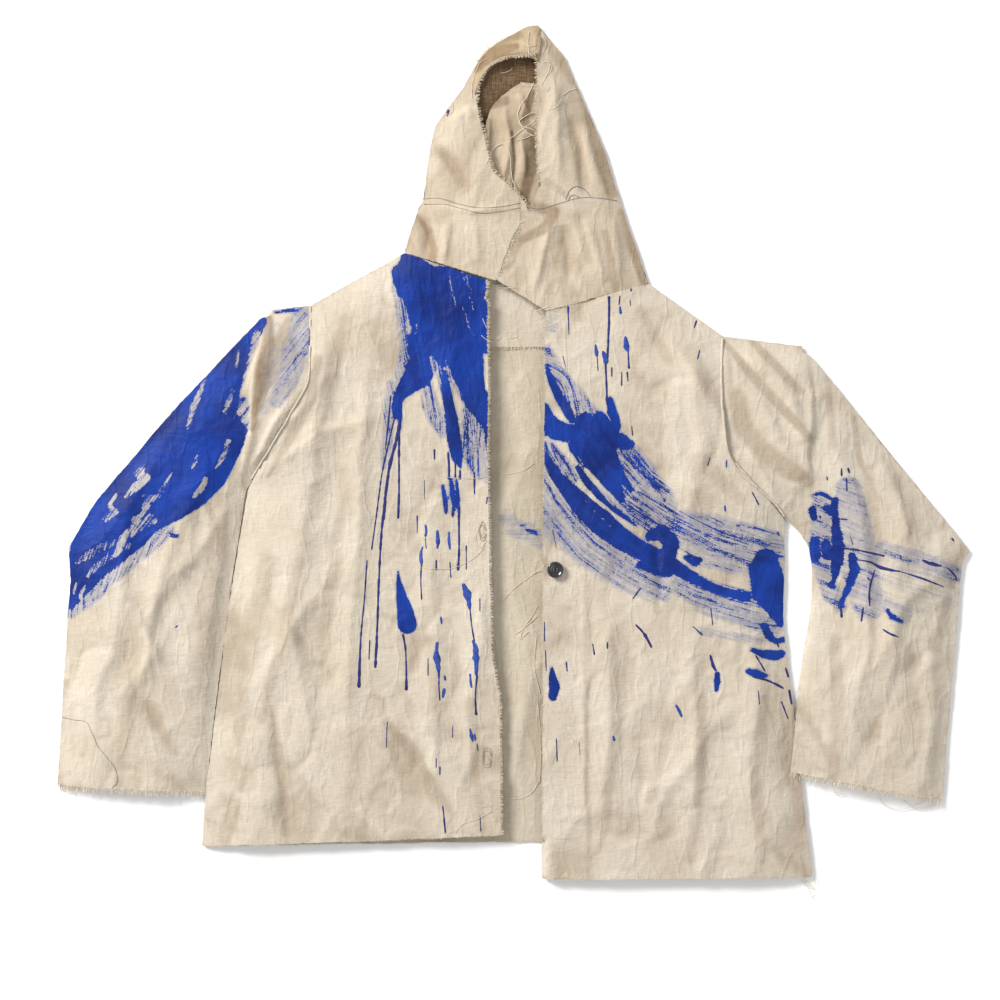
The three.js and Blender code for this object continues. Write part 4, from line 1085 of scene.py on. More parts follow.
# %% [markdown]
# ## Node helpers
# A finish is a small machine of nodes. These words add a node, join two, and do sums, smooth
# steps, mixes, noise and bumps with them, so that a finish below reads like a recipe.
# %% Node helpers
class Net:
    """Short words for adding and joining nodes in one tree."""

    def __init__(self, tree):
        self.tree = tree

    def node(self, kind, **settings):
        made = self.tree.nodes.new(kind)
        for key, value in settings.items():
            setattr(made, key, value)
        return made

    def join(self, source, socket):
        if isinstance(source, (int, float, tuple)):
            socket.default_value = source
        else:
            self.tree.links.new(source, socket)

    def math(self, operation, a, b=0.0):
        made = self.node("ShaderNodeMath", operation=operation)
        self.join(a, made.inputs[0])
        self.join(b, made.inputs[1])
        return made.outputs[0]

    def ramp(self, value, low, high, to_low=0.0, to_high=1.0):
        made = self.node("ShaderNodeMapRange", interpolation_type="SMOOTHSTEP")
        self.join(value, made.inputs["Value"])
        for label, number in (("From Min", low), ("From Max", high),
                              ("To Min", to_low), ("To Max", to_high)):
            self.join(number, made.inputs[label])
        return made.outputs[0]

    def mix(self, share, a, b):
        made = self.node("ShaderNodeMix", data_type="RGBA")
        self.join(share, made.inputs[0])
        self.join(a, made.inputs[6])
        self.join(b, made.inputs[7])
        return made.outputs[2]

    def stretch(self, vector, scale):
        made = self.node("ShaderNodeMapping")
        self.join(vector, made.inputs["Vector"])
        made.inputs["Scale"].default_value = scale
        return made.outputs[0]

    def noise(self, vector, scale, detail=2.0, rough=0.5):
        made = self.node("ShaderNodeTexNoise")
        self.join(vector, made.inputs["Vector"])
        made.inputs["Scale"].default_value = scale
        made.inputs["Detail"].default_value = detail
        made.inputs["Roughness"].default_value = rough
        return made.outputs[0]

    def stored(self, label):
        """A value that each corner of the mesh keeps."""
        return self.node("ShaderNodeAttribute", attribute_name=label).outputs["Fac"]

    def flat_map(self, label):
        return self.node("ShaderNodeUVMap", uv_map=label).outputs[0]

    def bump(self, height, strength, depth, normal=None):
        made = self.node("ShaderNodeBump")
        made.inputs["Strength"].default_value = strength
        made.inputs["Distance"].default_value = depth
        self.join(height, made.inputs["Height"])
        if normal is not None:
            self.join(normal, made.inputs["Normal"])
        return made.outputs[0]


print("words for nodes:", [word for word in vars(Net) if not word.startswith("_")])

# %% [markdown]
# ## Groups, finishes and colours
# A group is a recipe that several finishes share. Colours are given as a screen shows them.
# %% Groups, finishes and colours
def new_group(name, inputs, outputs):
    """An empty node group with named inputs and outputs."""
    group = bpy.data.node_groups.new(name, "ShaderNodeTree")
    for label, kind, value in inputs:
        socket = group.interface.new_socket(label, in_out="INPUT", socket_type=kind)
        if value is not None:
            socket.default_value = value
    for label, kind in outputs:
        group.interface.new_socket(label, in_out="OUTPUT", socket_type=kind)
    source = group.nodes.new("NodeGroupInput")
    target = group.nodes.new("NodeGroupOutput")
    return group, source, target


def new_finish(name):
    """A material, the words for its nodes, and its shader."""
    finish = bpy.data.materials.new(name)
    finish.use_nodes = True
    return finish, Net(finish.node_tree), finish.node_tree.nodes["Principled BSDF"]


def srgb(red, green, blue):
    """A colour as a screen shows it, turned into the amounts of light that shading needs."""
    return tuple(round((c / 255) ** 2.2, 4) for c in (red, green, blue)) + (1.0,)


print("unbleached canvas is", srgb(202, 193, 178))

# %% [markdown]
# ## The canvas weave
# Unbleached canvas is a plain weave of uneven yarns: thick places, or slubs, run along both
# directions, brown specks of seed stay in it, and it yellows in patches. Where it was crushed it
# keeps fine creases. The weave is a node group, because every cloth uses it.
# %% The canvas weave
SLUB_BROWN, SEED_BROWN = (0.40, 0.31, 0.22, 1), (0.22, 0.13, 0.07, 1)
GAP_BROWN = (0.3, 0.24, 0.17, 1)  # between the yarns
YARNS = 1900.0  # half turns of the weave in a metre


def canvas_weave():
    group, source, target = new_group(
        "canvas_weave",
        [("Flat", "NodeSocketVector", None), ("Tone", "NodeSocketColor", (0.7, 0.65, 0.55, 1)),
         ("Stain", "NodeSocketColor", (0.6, 0.5, 0.4, 1)), ("Yarns", "NodeSocketFloat", YARNS)],
        [("Color", "NodeSocketColor"), ("Height", "NodeSocketFloat"),
         ("Crease", "NodeSocketFloat")])
    net = Net(group)
    flat, yarns = source.outputs["Flat"], source.outputs["Yarns"]
    wave = net.node("ShaderNodeVectorMath", operation="SCALE")
    net.join(flat, wave.inputs[0])
    net.join(yarns, wave.inputs["Scale"])
    parts = net.node("ShaderNodeSeparateXYZ")
    net.join(wave.outputs[0], parts.inputs[0])
    warp = net.math("SINE", net.math("MULTIPLY", parts.outputs[0], math.pi))
    weft = net.math("SINE", net.math("MULTIPLY", parts.outputs[1], math.pi))
    over = net.ramp(net.math("MULTIPLY", warp, weft), -0.35, 0.35)
    up, down = net.math("ABSOLUTE", warp), net.math("ABSOLUTE", weft)
    weave = net.math("ADD", net.math("MULTIPLY", over, up),
                     net.math("MULTIPLY", net.math("SUBTRACT", 1.0, over), down))
    slub_weft = net.noise(net.stretch(flat, (70, 900, 1)), 1.0, 3.0, 0.6)
    slub_warp = net.noise(net.stretch(flat, (900, 55, 1)), 1.0, 3.0, 0.6)
    slub = net.math("ADD", slub_weft, slub_warp)
    speck = net.ramp(net.noise(net.stretch(flat, (330, 420, 1)), 1.0, 2.0), 0.73, 0.77)
    patch = net.noise(flat, 13.0, 4.0, 0.55)
    tone = net.mix(net.ramp(patch, 0.36, 0.66, 0.0, 0.42), source.outputs["Tone"],
                   source.outputs["Stain"])
    dark = net.mix(net.ramp(slub, 0.8, 1.28, 0.0, 0.36), tone, SLUB_BROWN)
    dark = net.mix(net.math("MULTIPLY", speck, 0.35), dark, SEED_BROWN)
    light = net.mix(net.ramp(weave, 0.0, 0.5, 0.22, 0.0), dark, GAP_BROWN)
    net.join(light, target.inputs["Color"])
    height = net.math("ADD", net.math("MULTIPLY", weave, 0.55), net.math("MULTIPLY", slub, 0.45))
    net.join(height, target.inputs["Height"])
    long = net.noise(net.stretch(flat, (44, 15, 1)), 1.0, 3.0, 0.45)
    short = net.noise(net.stretch(flat, (60, 90, 1)), 1.0, 2.0, 0.5)
    fold = net.ramp(net.math("ABSOLUTE", net.math("SUBTRACT", long, 0.5)), 0.0, 0.07, 1.0, 0.0)
    pucker = net.ramp(net.math("ABSOLUTE", net.math("SUBTRACT", short, 0.5)), 0.0, 0.09, 1.0, 0.0)
    net.join(net.math("ADD", fold, net.math("MULTIPLY", pucker, 0.4)), target.inputs["Crease"])
    return group


WEAVE = canvas_weave()
print("weave", len(WEAVE.nodes), "nodes")

# %% [markdown]
# ## Brushed paint
# The paint group compares how loaded the brush was with bristle noise drawn out along the stroke,
# so that the same rule gives a solid middle, a broken edge and a dry streak. A second, softer
# threshold gives the thin film that a nearly dry brush leaves round it.
# %% Brushed paint
BRISTLES, BROAD_BRISTLES = (26, 520, 1), (9, 120, 1)
ROUGH_SHARE, HAZE_SHARE, ROUGH_MIDDLE = 1.15, 1.5, 1.25


def brushed_paint():
    group, source, target = new_group(
        "brushed_paint",
        [("Load", "NodeSocketFloat", 0.0), ("Stroke", "NodeSocketVector", None),
         ("Flat", "NodeSocketVector", None)],
        [("Cover", "NodeSocketFloat"), ("Film", "NodeSocketFloat"), ("Shade", "NodeSocketFloat")])
    net = Net(group)
    load = net.math("SUBTRACT", source.outputs["Load"], PAINT_ZERO)
    bristle = net.noise(net.stretch(source.outputs["Stroke"], BRISTLES), 1.0, 3.0, 0.6)
    broad = net.noise(net.stretch(source.outputs["Stroke"], BROAD_BRISTLES), 1.0, 2.0, 0.5)
    grit = net.noise(source.outputs["Flat"], 760.0, 2.0, 0.6)
    lump = net.noise(source.outputs["Flat"], 190.0, 2.0, 0.5)
    rough = net.math("ADD", net.math("MULTIPLY", bristle, 0.85), net.math("MULTIPLY", broad, 0.75))
    rough = net.math("ADD", rough, net.math("MULTIPLY", grit, 0.55))
    rough = net.math("ADD", rough, net.math("MULTIPLY", lump, 0.35))
    rough = net.math("SUBTRACT", rough, ROUGH_MIDDLE)
    level = net.math("ADD", load, net.math("MULTIPLY", rough, ROUGH_SHARE))
    net.join(net.ramp(level, -0.012, 0.03), target.inputs["Cover"])
    haze = net.math("ADD", load, net.math("MULTIPLY", rough, HAZE_SHARE))
    net.join(net.ramp(haze, -0.85, 0.18), target.inputs["Film"])
    net.join(net.math("ADD", net.math("MULTIPLY", broad, 0.6), net.math("MULTIPLY", bristle, 0.4)),
             target.inputs["Shade"])
    return group


BRUSH = brushed_paint()
print("brushed paint", len(BRUSH.nodes), "nodes")

# %% [markdown]
# ## Canvas and painted canvas
# Raw canvas is matt, with a faint fuzz. Its worn rims are dirtier, and its hollows and the shade
# strokes are painted darker as shade. Painted canvas is the same cloth with the blue over it: the
# film first, then the cover, which is deeper in patches, a little glossier, and fills the weave.
# %% Canvas and painted canvas
# The third colour is a brown for the worn rims and for the painted shade in hollows and folds.
CREAM, SAND, GRIME_AND_SHADE = srgb(202, 193, 178), srgb(180, 166, 145), srgb(128, 106, 80)
COBALT, NAVY, HAZE = srgb(15, 53, 140), srgb(6, 28, 88), srgb(122, 127, 150)
BRIGHT_BLUE = srgb(28, 72, 164)
MATT, GLOSS_OF_PAINT = 0.92, 0.38
GLEAM, FUZZINESS = 0.18, 0.05
WEAVE_STRENGTH, WEAVE_DEPTH = 0.35, 0.25 * MM
CREASE_STRENGTH, CREASE_DEPTH = 0.4, 0.8 * MM
WORN_RIM = 3.5 * MM


def add_dirt_and_shade(net, flat, color, soil):
    """Dirt at the worn rims, and painted shade in the hollows and along the shade strokes."""
    worn = net.math("MULTIPLY", net.ramp(net.stored("rim"), 0.0, WORN_RIM, 1.0, 0.0),
                    net.ramp(net.noise(flat, 140.0, 3.0), 0.4, 0.65))
    color = net.mix(net.math("MULTIPLY", worn, 0.12), color, soil)
    cloud = net.noise(flat, 34.0, 4.0, 0.6)
    # Painted shade: darker in the hollows of the folds, in patches.
    hollow_shade = net.math("MULTIPLY", net.stored("hollow"), net.math("ADD", cloud, 0.6))
    color = net.mix(net.math("MULTIPLY", net.ramp(hollow_shade, 0.3, 1.0), 0.42), color, soil)
    # Painted shade from the shade strokes.
    painted_shade = net.math("MULTIPLY", net.stored("soil"), net.ramp(cloud, 0.25, 0.7, 0.6, 0.92))
    return net.mix(painted_shade, color, soil)


def add_paint(net, flat, color, height):
    """Blue over the canvas: its colour, its roughness and its height."""
    brush = net.node("ShaderNodeGroup", node_tree=BRUSH)
    net.join(net.stored("paint"), brush.inputs["Load"])
    net.join(net.flat_map("stroke"), brush.inputs["Stroke"])
    net.join(flat, brush.inputs["Flat"])
    cover = brush.outputs["Cover"]
    color = net.mix(net.math("MULTIPLY", brush.outputs["Film"], 0.78), color, HAZE)
    deep = net.ramp(net.noise(flat, 16.0, 3.0), 0.36, 0.66)
    blue = net.mix(net.math("MULTIPLY", deep, 0.85), COBALT, NAVY)
    blue = net.mix(net.ramp(brush.outputs["Shade"], 0.35, 0.75, 0.0, 0.3), blue, BRIGHT_BLUE)
    rough = net.math("SUBTRACT", MATT, net.math("MULTIPLY", cover, GLOSS_OF_PAINT))
    height = net.math("ADD", net.math("MULTIPLY", height, 0.8), net.math("MULTIPLY", cover, 0.35))
    return net.mix(cover, color, blue), rough, height


def canvas_material(name, tone, stain, painted=False, soil=GRIME_AND_SHADE):
    finish, net, shader = new_finish(name)
    flat = net.flat_map("weave")
    weave = net.node("ShaderNodeGroup", node_tree=WEAVE)
    net.join(flat, weave.inputs["Flat"])
    net.join(tone, weave.inputs["Tone"])
    net.join(stain, weave.inputs["Stain"])
    rough, height = MATT, weave.outputs["Height"]
    color = add_dirt_and_shade(net, flat, weave.outputs["Color"], soil)
    if painted:
        color, rough, height = add_paint(net, flat, color, height)
    net.join(color, shader.inputs["Base Color"])
    net.join(rough, shader.inputs["Roughness"])
    shader.inputs["Specular IOR Level"].default_value = GLEAM
    shader.inputs["Sheen Weight"].default_value = FUZZINESS
    normal = net.bump(height, WEAVE_STRENGTH, WEAVE_DEPTH)
    normal = net.bump(weave.outputs["Crease"], CREASE_STRENGTH, CREASE_DEPTH, normal)
    net.join(normal, shader.inputs["Normal"])
    return finish


CANVAS = canvas_material("plain_canvas", CREAM, SAND)
PAINTED = canvas_material("painted_canvas", CREAM, SAND, painted=True)
print("canvas with", len(PAINTED.node_tree.nodes), "nodes when painted")

# %% [markdown]
# ## Thread
# Sewing thread is two plies twisted together, so it is banded across at a slant. The bands give
# its colour a second tone and its surface a small relief.
# %% Thread
THREAD_STRENGTH, THREAD_DEPTH, THREAD_ROUGHNESS = 0.3, 0.1 * MM, 0.85


def thread_material(name, tone, dark):
    finish, net, shader = new_finish(name)
    place = net.node("ShaderNodeTexCoord").outputs["Object"]
    twist = net.node("ShaderNodeTexWave", bands_direction="DIAGONAL")
    net.join(place, twist.inputs["Vector"])
    twist.inputs["Scale"].default_value = 420.0
    twist.inputs["Distortion"].default_value = 2.0
    share = net.math("ADD", net.math("MULTIPLY", twist.outputs[1], 0.35),
                     net.math("MULTIPLY", net.noise(place, 90.0), 0.5))
    net.join(net.mix(share, tone, dark), shader.inputs["Base Color"])
    shader.inputs["Roughness"].default_value = THREAD_ROUGHNESS
    net.join(net.bump(twist.outputs[1], THREAD_STRENGTH, THREAD_DEPTH), shader.inputs["Normal"])
    return finish


CREAM_THREAD = thread_material("cream_thread", srgb(224, 214, 194), srgb(190, 172, 144))
NAVY_THREAD = thread_material("navy_thread", srgb(120, 116, 130), srgb(70, 66, 90))
print("threads", CREAM_THREAD.name, NAVY_THREAD.name)

# %% [markdown]
# ## Which cloth gets which canvas
# The hood's sides have a darker tone than the fronts, and the inside of the back is painted a little
# darker as shade between the raised fronts. The back of the hood is painted dark brown as shade where
# it shows in the face opening and is plain outside, so its under faces get a second finish.
# %% Which cloth gets which canvas
UNDER_FACE = 0.5  # a face whose normal points up less than this is outside or at the rim
# Painted shade: the inside of the hood is dark brown for the shade in its opening.
HOOD_INSIDE_SHADE = canvas_material("hood_inside_shade", srgb(90, 66, 42), srgb(62, 42, 25), soil=srgb(48, 32, 20))
# Painted shade: the crown is a darker brown than the rest of the hood.
HOOD_CROWN = canvas_material("hood_crown", srgb(178, 160, 134), srgb(150, 130, 102),
                             soil=srgb(118, 96, 68))
# Painted shade: the fold inside the hood is darker.
HOOD_FOLD = canvas_material("hood_fold", srgb(182, 166, 144), srgb(146, 126, 100),
                            soil=srgb(84, 62, 42))
# Painted shade: the inside of the back is a little darker where it shows between the raised fronts.
BACK_IN = canvas_material("back_inside", srgb(196, 187, 169), srgb(172, 160, 138), painted=True)
HOOD_CANVAS = canvas_material("hood_canvas", srgb(197, 185, 167), srgb(174, 158, 136))
FINISH = {"back_cloth": BACK_IN, "neck_facing_cloth": CANVAS, "front_right_cloth": PAINTED,
          "front_left_cloth": PAINTED, "front_facing_cloth": CANVAS,
          "sleeve_right_cloth": PAINTED, "sleeve_right_under": CANVAS,
          "sleeve_left_cloth": PAINTED, "sleeve_left_under": CANVAS,
          "hood_back_cloth": HOOD_INSIDE_SHADE, "hood_inner_cloth": HOOD_FOLD,
          "hood_crown_cloth": HOOD_CROWN,
          "hood_left_cloth": HOOD_CANVAS, "hood_right_cloth": HOOD_CANVAS}
for name, finish in FINISH.items():
    CLOTHS[name].data.materials.append(finish)
outside = CLOTHS["hood_back_cloth"].data
outside.materials.append(HOOD_CANVAS)
for face in outside.polygons:
    face.material_index = int(face.normal.z < UNDER_FACE)
print("dressed", len(FINISH), "cloths")

# %% [markdown]
# ## Things that lie on the cloth
# Threads, drips and stitches all need the height of what they lie on. A path is drawn in plan,
# eased through its points, and dropped onto the cloth from above. Where it passes over a step it
# bridges it, as a thread does.
# %% Paths on the cloth
DETAILS = []
SKIN = {}
PATH_STEP = 1.5 * MM
WANDER_SIZE = 0.012


def skin_of(name):
    if name not in SKIN:
        mesh = CLOTHS[name].data
        SKIN[name] = BVHTree.FromPolygons([v.co for v in mesh.vertices],
                                          [p.vertices for p in mesh.polygons])
    return SKIN[name]


def top_at(names, x, y):
    best = None
    for name in names:
        hit = skin_of(name).ray_cast(Vector((x, y, ABOVE)), DROP)[0]
        if hit is not None and (best is None or hit.z > best):
            best = hit.z
    return best


def eased(points, step):
    """A smooth curve through the points, with a point every step or so."""
    points = np.asarray(points, float)
    padded = np.vstack([2 * points[0] - points[1], points, 2 * points[-1] - points[-2]])
    out = []
    for i in range(1, len(padded) - 2):
        p0, p1, p2, p3 = padded[i - 1:i + 3]
        count = max(1, int(np.hypot(*(p2 - p1)[:2]) / step))
        for t in np.arange(count) / count:
            out.append(0.5 * (2 * p1 + (p2 - p0) * t + (2 * p0 - 5 * p1 + 4 * p2 - p3) * t * t
                              + (3 * p1 - p0 - 3 * p2 + p3) * t ** 3))
    out.append(points[-1])
    return np.array(out)


def laid_path(points, names, lift, step=PATH_STEP, slack=2, wander=0.0, seed=0):
    """Plan points in millimetres become a path lying on the named cloths."""
    plan = eased(np.asarray(points, float) * MM, step)
    if wander:
        run = np.arange(len(plan)) * step
        plan[:, 0] += wander * MM * noise(run, run * 0, WANDER_SIZE, seed)
        plan[:, 1] += wander * MM * noise(run, run * 0 + 5, WANDER_SIZE, seed)
    z = [top_at(names, x, y) for x, y in plan[:, :2]]
    last = next((v for v in z if v is not None), MM)
    for i, value in enumerate(z):
        last = z[i] = last if value is None else value
    z = np.array(z)
    for _ in range(slack):
        z = np.maximum(z, (np.concatenate([z[:1], z[:-1]]) + np.concatenate([z[1:], z[-1:]])) / 2)
    return np.column_stack([plan[:, :2], z + lift])


print("the cloth lies", round(top_at(list(CLOTHS), 0.1, 0.0) / MM, 1), "mm up on the left front")

# %% [markdown]
# ## Round threads and seams
# A thread is a tube round its path, closed at both ends and a little thinner there. A rolled
# seam is the same tube, thicker and pressed flat. Each piece is noted with the cloth it lies on,
# and is later handled with the same word as that cloth.
# %% Round threads and seams
THREAD_END = 0.35  # how thin a tube gets at its ends
NO_LENGTH = 1e-12


def mesh_piece(name, corners, faces, finish, cloth, slot, uv):
    mesh = bpy.data.meshes.new(name)
    mesh.from_pydata([tuple(c) for c in corners], [], faces)
    for label in ("weave", "stroke"):
        add_map(mesh, label, uv)
    mesh.materials.append(finish)
    piece = link(name, mesh)
    DETAILS.append((piece, cloth, slot))
    return piece


def tubes(name, paths, radius, finish, cloth, slot, sides=6, flat=1.0):
    """Round threads or rolled seams along paths, closed at both ends."""
    corners, faces, uv = [], [], []
    for path in paths:
        path = np.asarray(path, float)
        tangent = np.gradient(path, axis=0)
        tangent /= np.linalg.norm(tangent, axis=1)[:, None] + NO_LENGTH
        across = np.cross(tangent, (0, 0, 1))
        across /= np.linalg.norm(across, axis=1)[:, None] + NO_LENGTH
        up = np.cross(across, tangent)
        first = len(corners)
        count = len(path)
        for i in range(count):
            taper = THREAD_END if i in (0, count - 1) else 1.0
            for k in range(sides):
                a = 2 * math.pi * k / sides
                corners.append(path[i] + radius * taper * (math.cos(a) * across[i]
                                                           + math.sin(a) * up[i] * flat))
                uv.append((i * PATH_STEP, a * radius))
        for i in range(count - 1):
            for k in range(sides):
                a, b = first + i * sides + k, first + i * sides + (k + 1) % sides
                faces.append([a, b, b + sides, a + sides])
        faces.append([first + k for k in reversed(range(sides))])
        faces.append([first + (count - 1) * sides + k for k in range(sides)])
    piece = mesh_piece(name, corners, faces, finish, cloth, slot, uv)
    form = bmesh.new()
    form.from_mesh(piece.data)
    bmesh.ops.recalc_face_normals(form, faces=form.faces)
    form.to_mesh(piece.data)
    form.free()
    return piece


print("threads taper to", THREAD_END, "of their width")

# %% [markdown]
# ## A closed ribbon
# Paint is a solid thing, so the ribbon has an underside just inside the cloth, two long sides
# and two ends.
# %% A closed ribbon
DRIP_DEPTH = 0.12 * MM


def add_ribbon(corners, faces, strip):
    """A closed ribbon: the rows on top, and the same rows a little lower underneath."""
    first, wide, long = len(corners), len(strip[0]), len(strip)
    for drop in (0.0, 1.0):
        for row in strip:
            low = min(row[0][2], row[-1][2])
            for x, y, z in row:
                corners.append((x, y, z if drop == 0 else low - DRIP_DEPTH))
    under = first + wide * long
    for i in range(long - 1):
        for k in range(wide - 1):
            a = first + i * wide + k
            b = under + i * wide + k
            faces.append([a, a + wide, a + wide + 1, a + 1])
            faces.append([b, b + 1, b + wide + 1, b + wide])
        a, b = first + i * wide, under + i * wide
        faces.append([a, b, b + wide, a + wide])
        a, b = a + wide - 1, b + wide - 1
        faces.append([a, a + wide, b + wide, b])
    for k in range(wide - 1):
        a, b = first + k, under + k
        faces.append([a, a + 1, b + 1, b])
        a, b = a + (long - 1) * wide, b + (long - 1) * wide
        faces.append([a, b, b + 1, a + 1])


print("a ribbon reaches", DRIP_DEPTH / MM, "mm below the cloth's top")

# %% [markdown]
# ## Drips, drops and tears of paint
# Thrown paint stands proud of the canvas. A drip is a low rounded ribbon whose width swells and
# shrinks as it runs; a drop is the same ribbon, short and wide.
# %% Drips and drops
DRIP_STEP, DRIP_HEIGHT, DRIP_LIFT = 1.2 * MM, 0.35 * MM, 0.02 * MM
LEAST_HALF = 0.3 * MM
SWELL, RAGGED, SWELL_SIZE = 0.28, 0.15, 0.004
HEAD_SHARE, TAIL_SHARE = 0.3, 0.35
ACROSS = ((-1.0, 0.0), (-0.72, 0.65), (0.0, 1.0), (0.72, 0.65), (1.0, 0.0))


def drips(name, cloth, runs, finish, seed):
    """One piece of paint for each run; it breaks off where there is no cloth under it."""
    corners, faces = [], []
    for number, run in enumerate(runs):
        path = eased(np.array(run, float) * MM, DRIP_STEP)
        tangent = np.gradient(path[:, :2], axis=0)
        tangent /= np.hypot(*tangent.T)[:, None] + NO_LENGTH
        side = np.column_stack([-tangent[:, 1], tangent[:, 0]])
        walk = np.arange(len(path)) * DRIP_STEP
        wobble = 1 + SWELL * noise(walk, walk * 0 + number, SWELL_SIZE, seed)
        half = np.maximum(path[:, 2] * wobble, LEAST_HALF)
        half[0] *= HEAD_SHARE
        half[-1] *= TAIL_SHARE
        rows = []
        for i in range(len(path)):
            row = []
            for share, rise in ACROSS:
                ragged = 1 + RAGGED * noise(walk[i], share * 3 + number, SWELL_SIZE, seed + 2)
                x, y = path[i, :2] + side[i] * half[i] * share * ragged
                ground = top_at([cloth], x, y)
                if ground is None:
                    row = None
                    break
                full = min(1, half[i] / MM)
                row.append((x, y, ground + DRIP_LIFT + DRIP_HEIGHT * rise * full))
            rows.append(row)
        strip = []
        for row in rows + [None]:
            if row is not None:
                strip.append(row)
                continue
            if len(strip) > 2:
                add_ribbon(corners, faces, strip)
            strip = []
    mesh_piece(name, corners, faces, finish, cloth, "painted_canvas", [c[:2] for c in corners])
    print(name, len(runs), "runs or drops")


print("a drip is", len(ACROSS), "points wide")

# %% [markdown]
# ## Wet-looking paint
# Thrown paint dries thicker than brushed paint, so it is a little glossier and hides the weave.
# Thin places let the brighter blue through.
# %% Wet-looking paint
PAINT_STRENGTH, PAINT_DEPTH = 0.3, 0.15 * MM


def wet_paint(name, tone, deep):
    finish, net, shader = new_finish(name)
    flat = net.flat_map("weave")
    thin = net.noise(flat, 260.0, 3.0, 0.6)
    net.join(net.mix(net.ramp(thin, 0.38, 0.62), tone, deep), shader.inputs["Base Color"])
    net.join(net.ramp(thin, 0.3, 0.7, 0.42, 0.66), shader.inputs["Roughness"])
    normal = net.bump(net.noise(flat, 900.0, 2.0), PAINT_STRENGTH, PAINT_DEPTH)
    net.join(normal, shader.inputs["Normal"])
    return finish


DROP_BLUE = wet_paint("drop_blue", srgb(42, 74, 156), srgb(26, 50, 128))
RUN_BLUE = wet_paint("run_blue", srgb(28, 38, 118), srgb(20, 22, 74))
print("thrown paint", DROP_BLUE.name, RUN_BLUE.name)

# %% [markdown]
# ## Drops and runs on the right front
# A row is one drop or run: points in millimetres, each with half its width there. The long runs
# came down from the loaded stroke at the neck while the jacket hung.
# %% Drops and runs on the right front
RIGHT_DROPS = [
    [(-56, -144, 1.7), (-52, -153, 4), (-49, -164, 3.3), (-48, -173, 1)],
    [(-45, -206, 1.3), (-42, -214, 3.1), (-41, -225, 3.6), (-41, -236, 2.4), (-41, -246, 1)],
    [(-84, -208, 1.5), (-85, -222, 3.1), (-83, -233, 3.1), (-82, -244, 1.3)],
    [(-100, -103, 1.3), (-102, -112, 2.2), (-101, -123, 1.8)],
    [(-97, -79, 1.3), (-96, -86, 1.8), (-97, -93, 1.1)],
    [(-84, -85, 1.3), (-83, -98, 1.9), (-84, -106, 1.1)],
    [(-71, -87, 1.3), (-71, -97, 2.1), (-70, -107, 1.1)],
    [(-48, -243, 1.2), (-47, -252, 1.9), (-46, -259, 0.9)], [(-76, -259, 1.4), (-78, -270, 1.7)],
    [(-48, -303, 1.1), (-46, -313, 2.1), (-45, -318, 1.3)], [(-43, -309, 1.2), (-42, -317, 1.4)],
    [(-76, -245, 1.1), (-75, -251, 1.2)], [(-80, -180, 1), (-79, -189, 1.1)],
    [(-29, -39, 1.3), (-29, -50, 1.3), (-30, -57, 0.8)],
]
RIGHT_RUNS = [
    [(-125, 36, 1.8), (-129, 14, 1.7), (-136, -14, 1.7), (-140, -41, 1.5), (-145, -85, 1.3),
     (-148, -140, 1.2), (-150, -195, 1.2), (-152, -237, 1.7)],
    [(-126, 30, 1.4), (-126, -8, 1.2), (-126, -41, 1.2), (-127, -73, 1.5)],
    [(-131, 38, 0.9), (-138, 8, 1), (-145, -25, 0.9), (-150, -63, 0.8), (-156, -107, 0.8)],
    [(-161, -118, 0.8), (-164, -162, 0.9), (-168, -206, 1), (-170, -259, 1.7)],
    [(-72, 1, 1.2), (-71, -15, 1), (-71, -30, 1.4)], [(-64, -6, 1), (-64, -28, 1)],
    [(-60, -58, 1.5), (-60, -85, 1.2), (-60, -109, 1.1), (-61, -130, 1.7)],
    [(-67, -63, 1.1), (-67, -71, 1.2)], [(-74, -58, 1.1), (-74, -68, 0.9)],
    [(-87, 4, 1.2), (-87, -8, 0.9)], [(-43, -21, 0.9), (-43, -46, 0.9)],
    [(-122, -199, 1.1), (-119, -215, 1), (-118, -239, 1), (-118, -262, 1.7)],
    [(-48, -171, 0.9), (-46, -190, 0.8), (-43, -208, 1)],
    [(-40, -244, 1), (-42, -267, 0.9), (-41, -289, 1.4)],
    [(-82, -241, 1), (-82, -259, 0.8), (-81, -273, 0.8)],
    [(-101, -120, 1), (-102, -140, 0.8), (-101, -162, 0.8)],
    [(-97, -94, 0.7), (-96, -106, 0.7)], [(-85, -118, 1.1), (-85, -130, 0.9)],
    [(-70, -120, 0.7), (-69, -138, 0.7)], [(-40, -320, 0.8), (-39, -329, 0.4)],
    [(-81, -345, 1.1), (-81, -355, 1)], [(-78, -388, 0.7), (-76, -406, 0.9), (-75, -419, 0.7)],
    [(-37, -399, 0.4), (-36, -417, 0.7)], [(-139, -296, 0.6), (-140, -325, 0.6)],
    [(-106, -69, 0.8), (-106, -89, 0.6)], [(-140, -52, 0.6), (-142, -74, 0.6)],
    [(-98, -30, 0.4), (-98, -52, 0.4)], [(-59, -19, 1.1), (-59, -30, 1.3)],
    [(-52, -102, 0.7), (-52, -129, 0.6)], [(-37, -160, 0.7), (-37, -175, 0.6)],
    [(-94, -226, 0.6), (-94, -246, 0.6)], [(-67, -300, 0.4), (-67, -314, 0.6)],
    [(-85, -336, 0.6), (-85, -347, 0.4)], [(-158, -206, 0.7), (-159, -228, 0.7)],
    [(-25, -19, 0.9), (-26, -32, 0.9)], [(-135, 63, 0.9), (-138, 30, 1), (-141, 3, 0.7)],
]
drips("drops_right_front", "front_right_cloth", RIGHT_DROPS, DROP_BLUE, 1)
drips("runs_right_front", "front_right_cloth", RIGHT_RUNS, RUN_BLUE, 2)

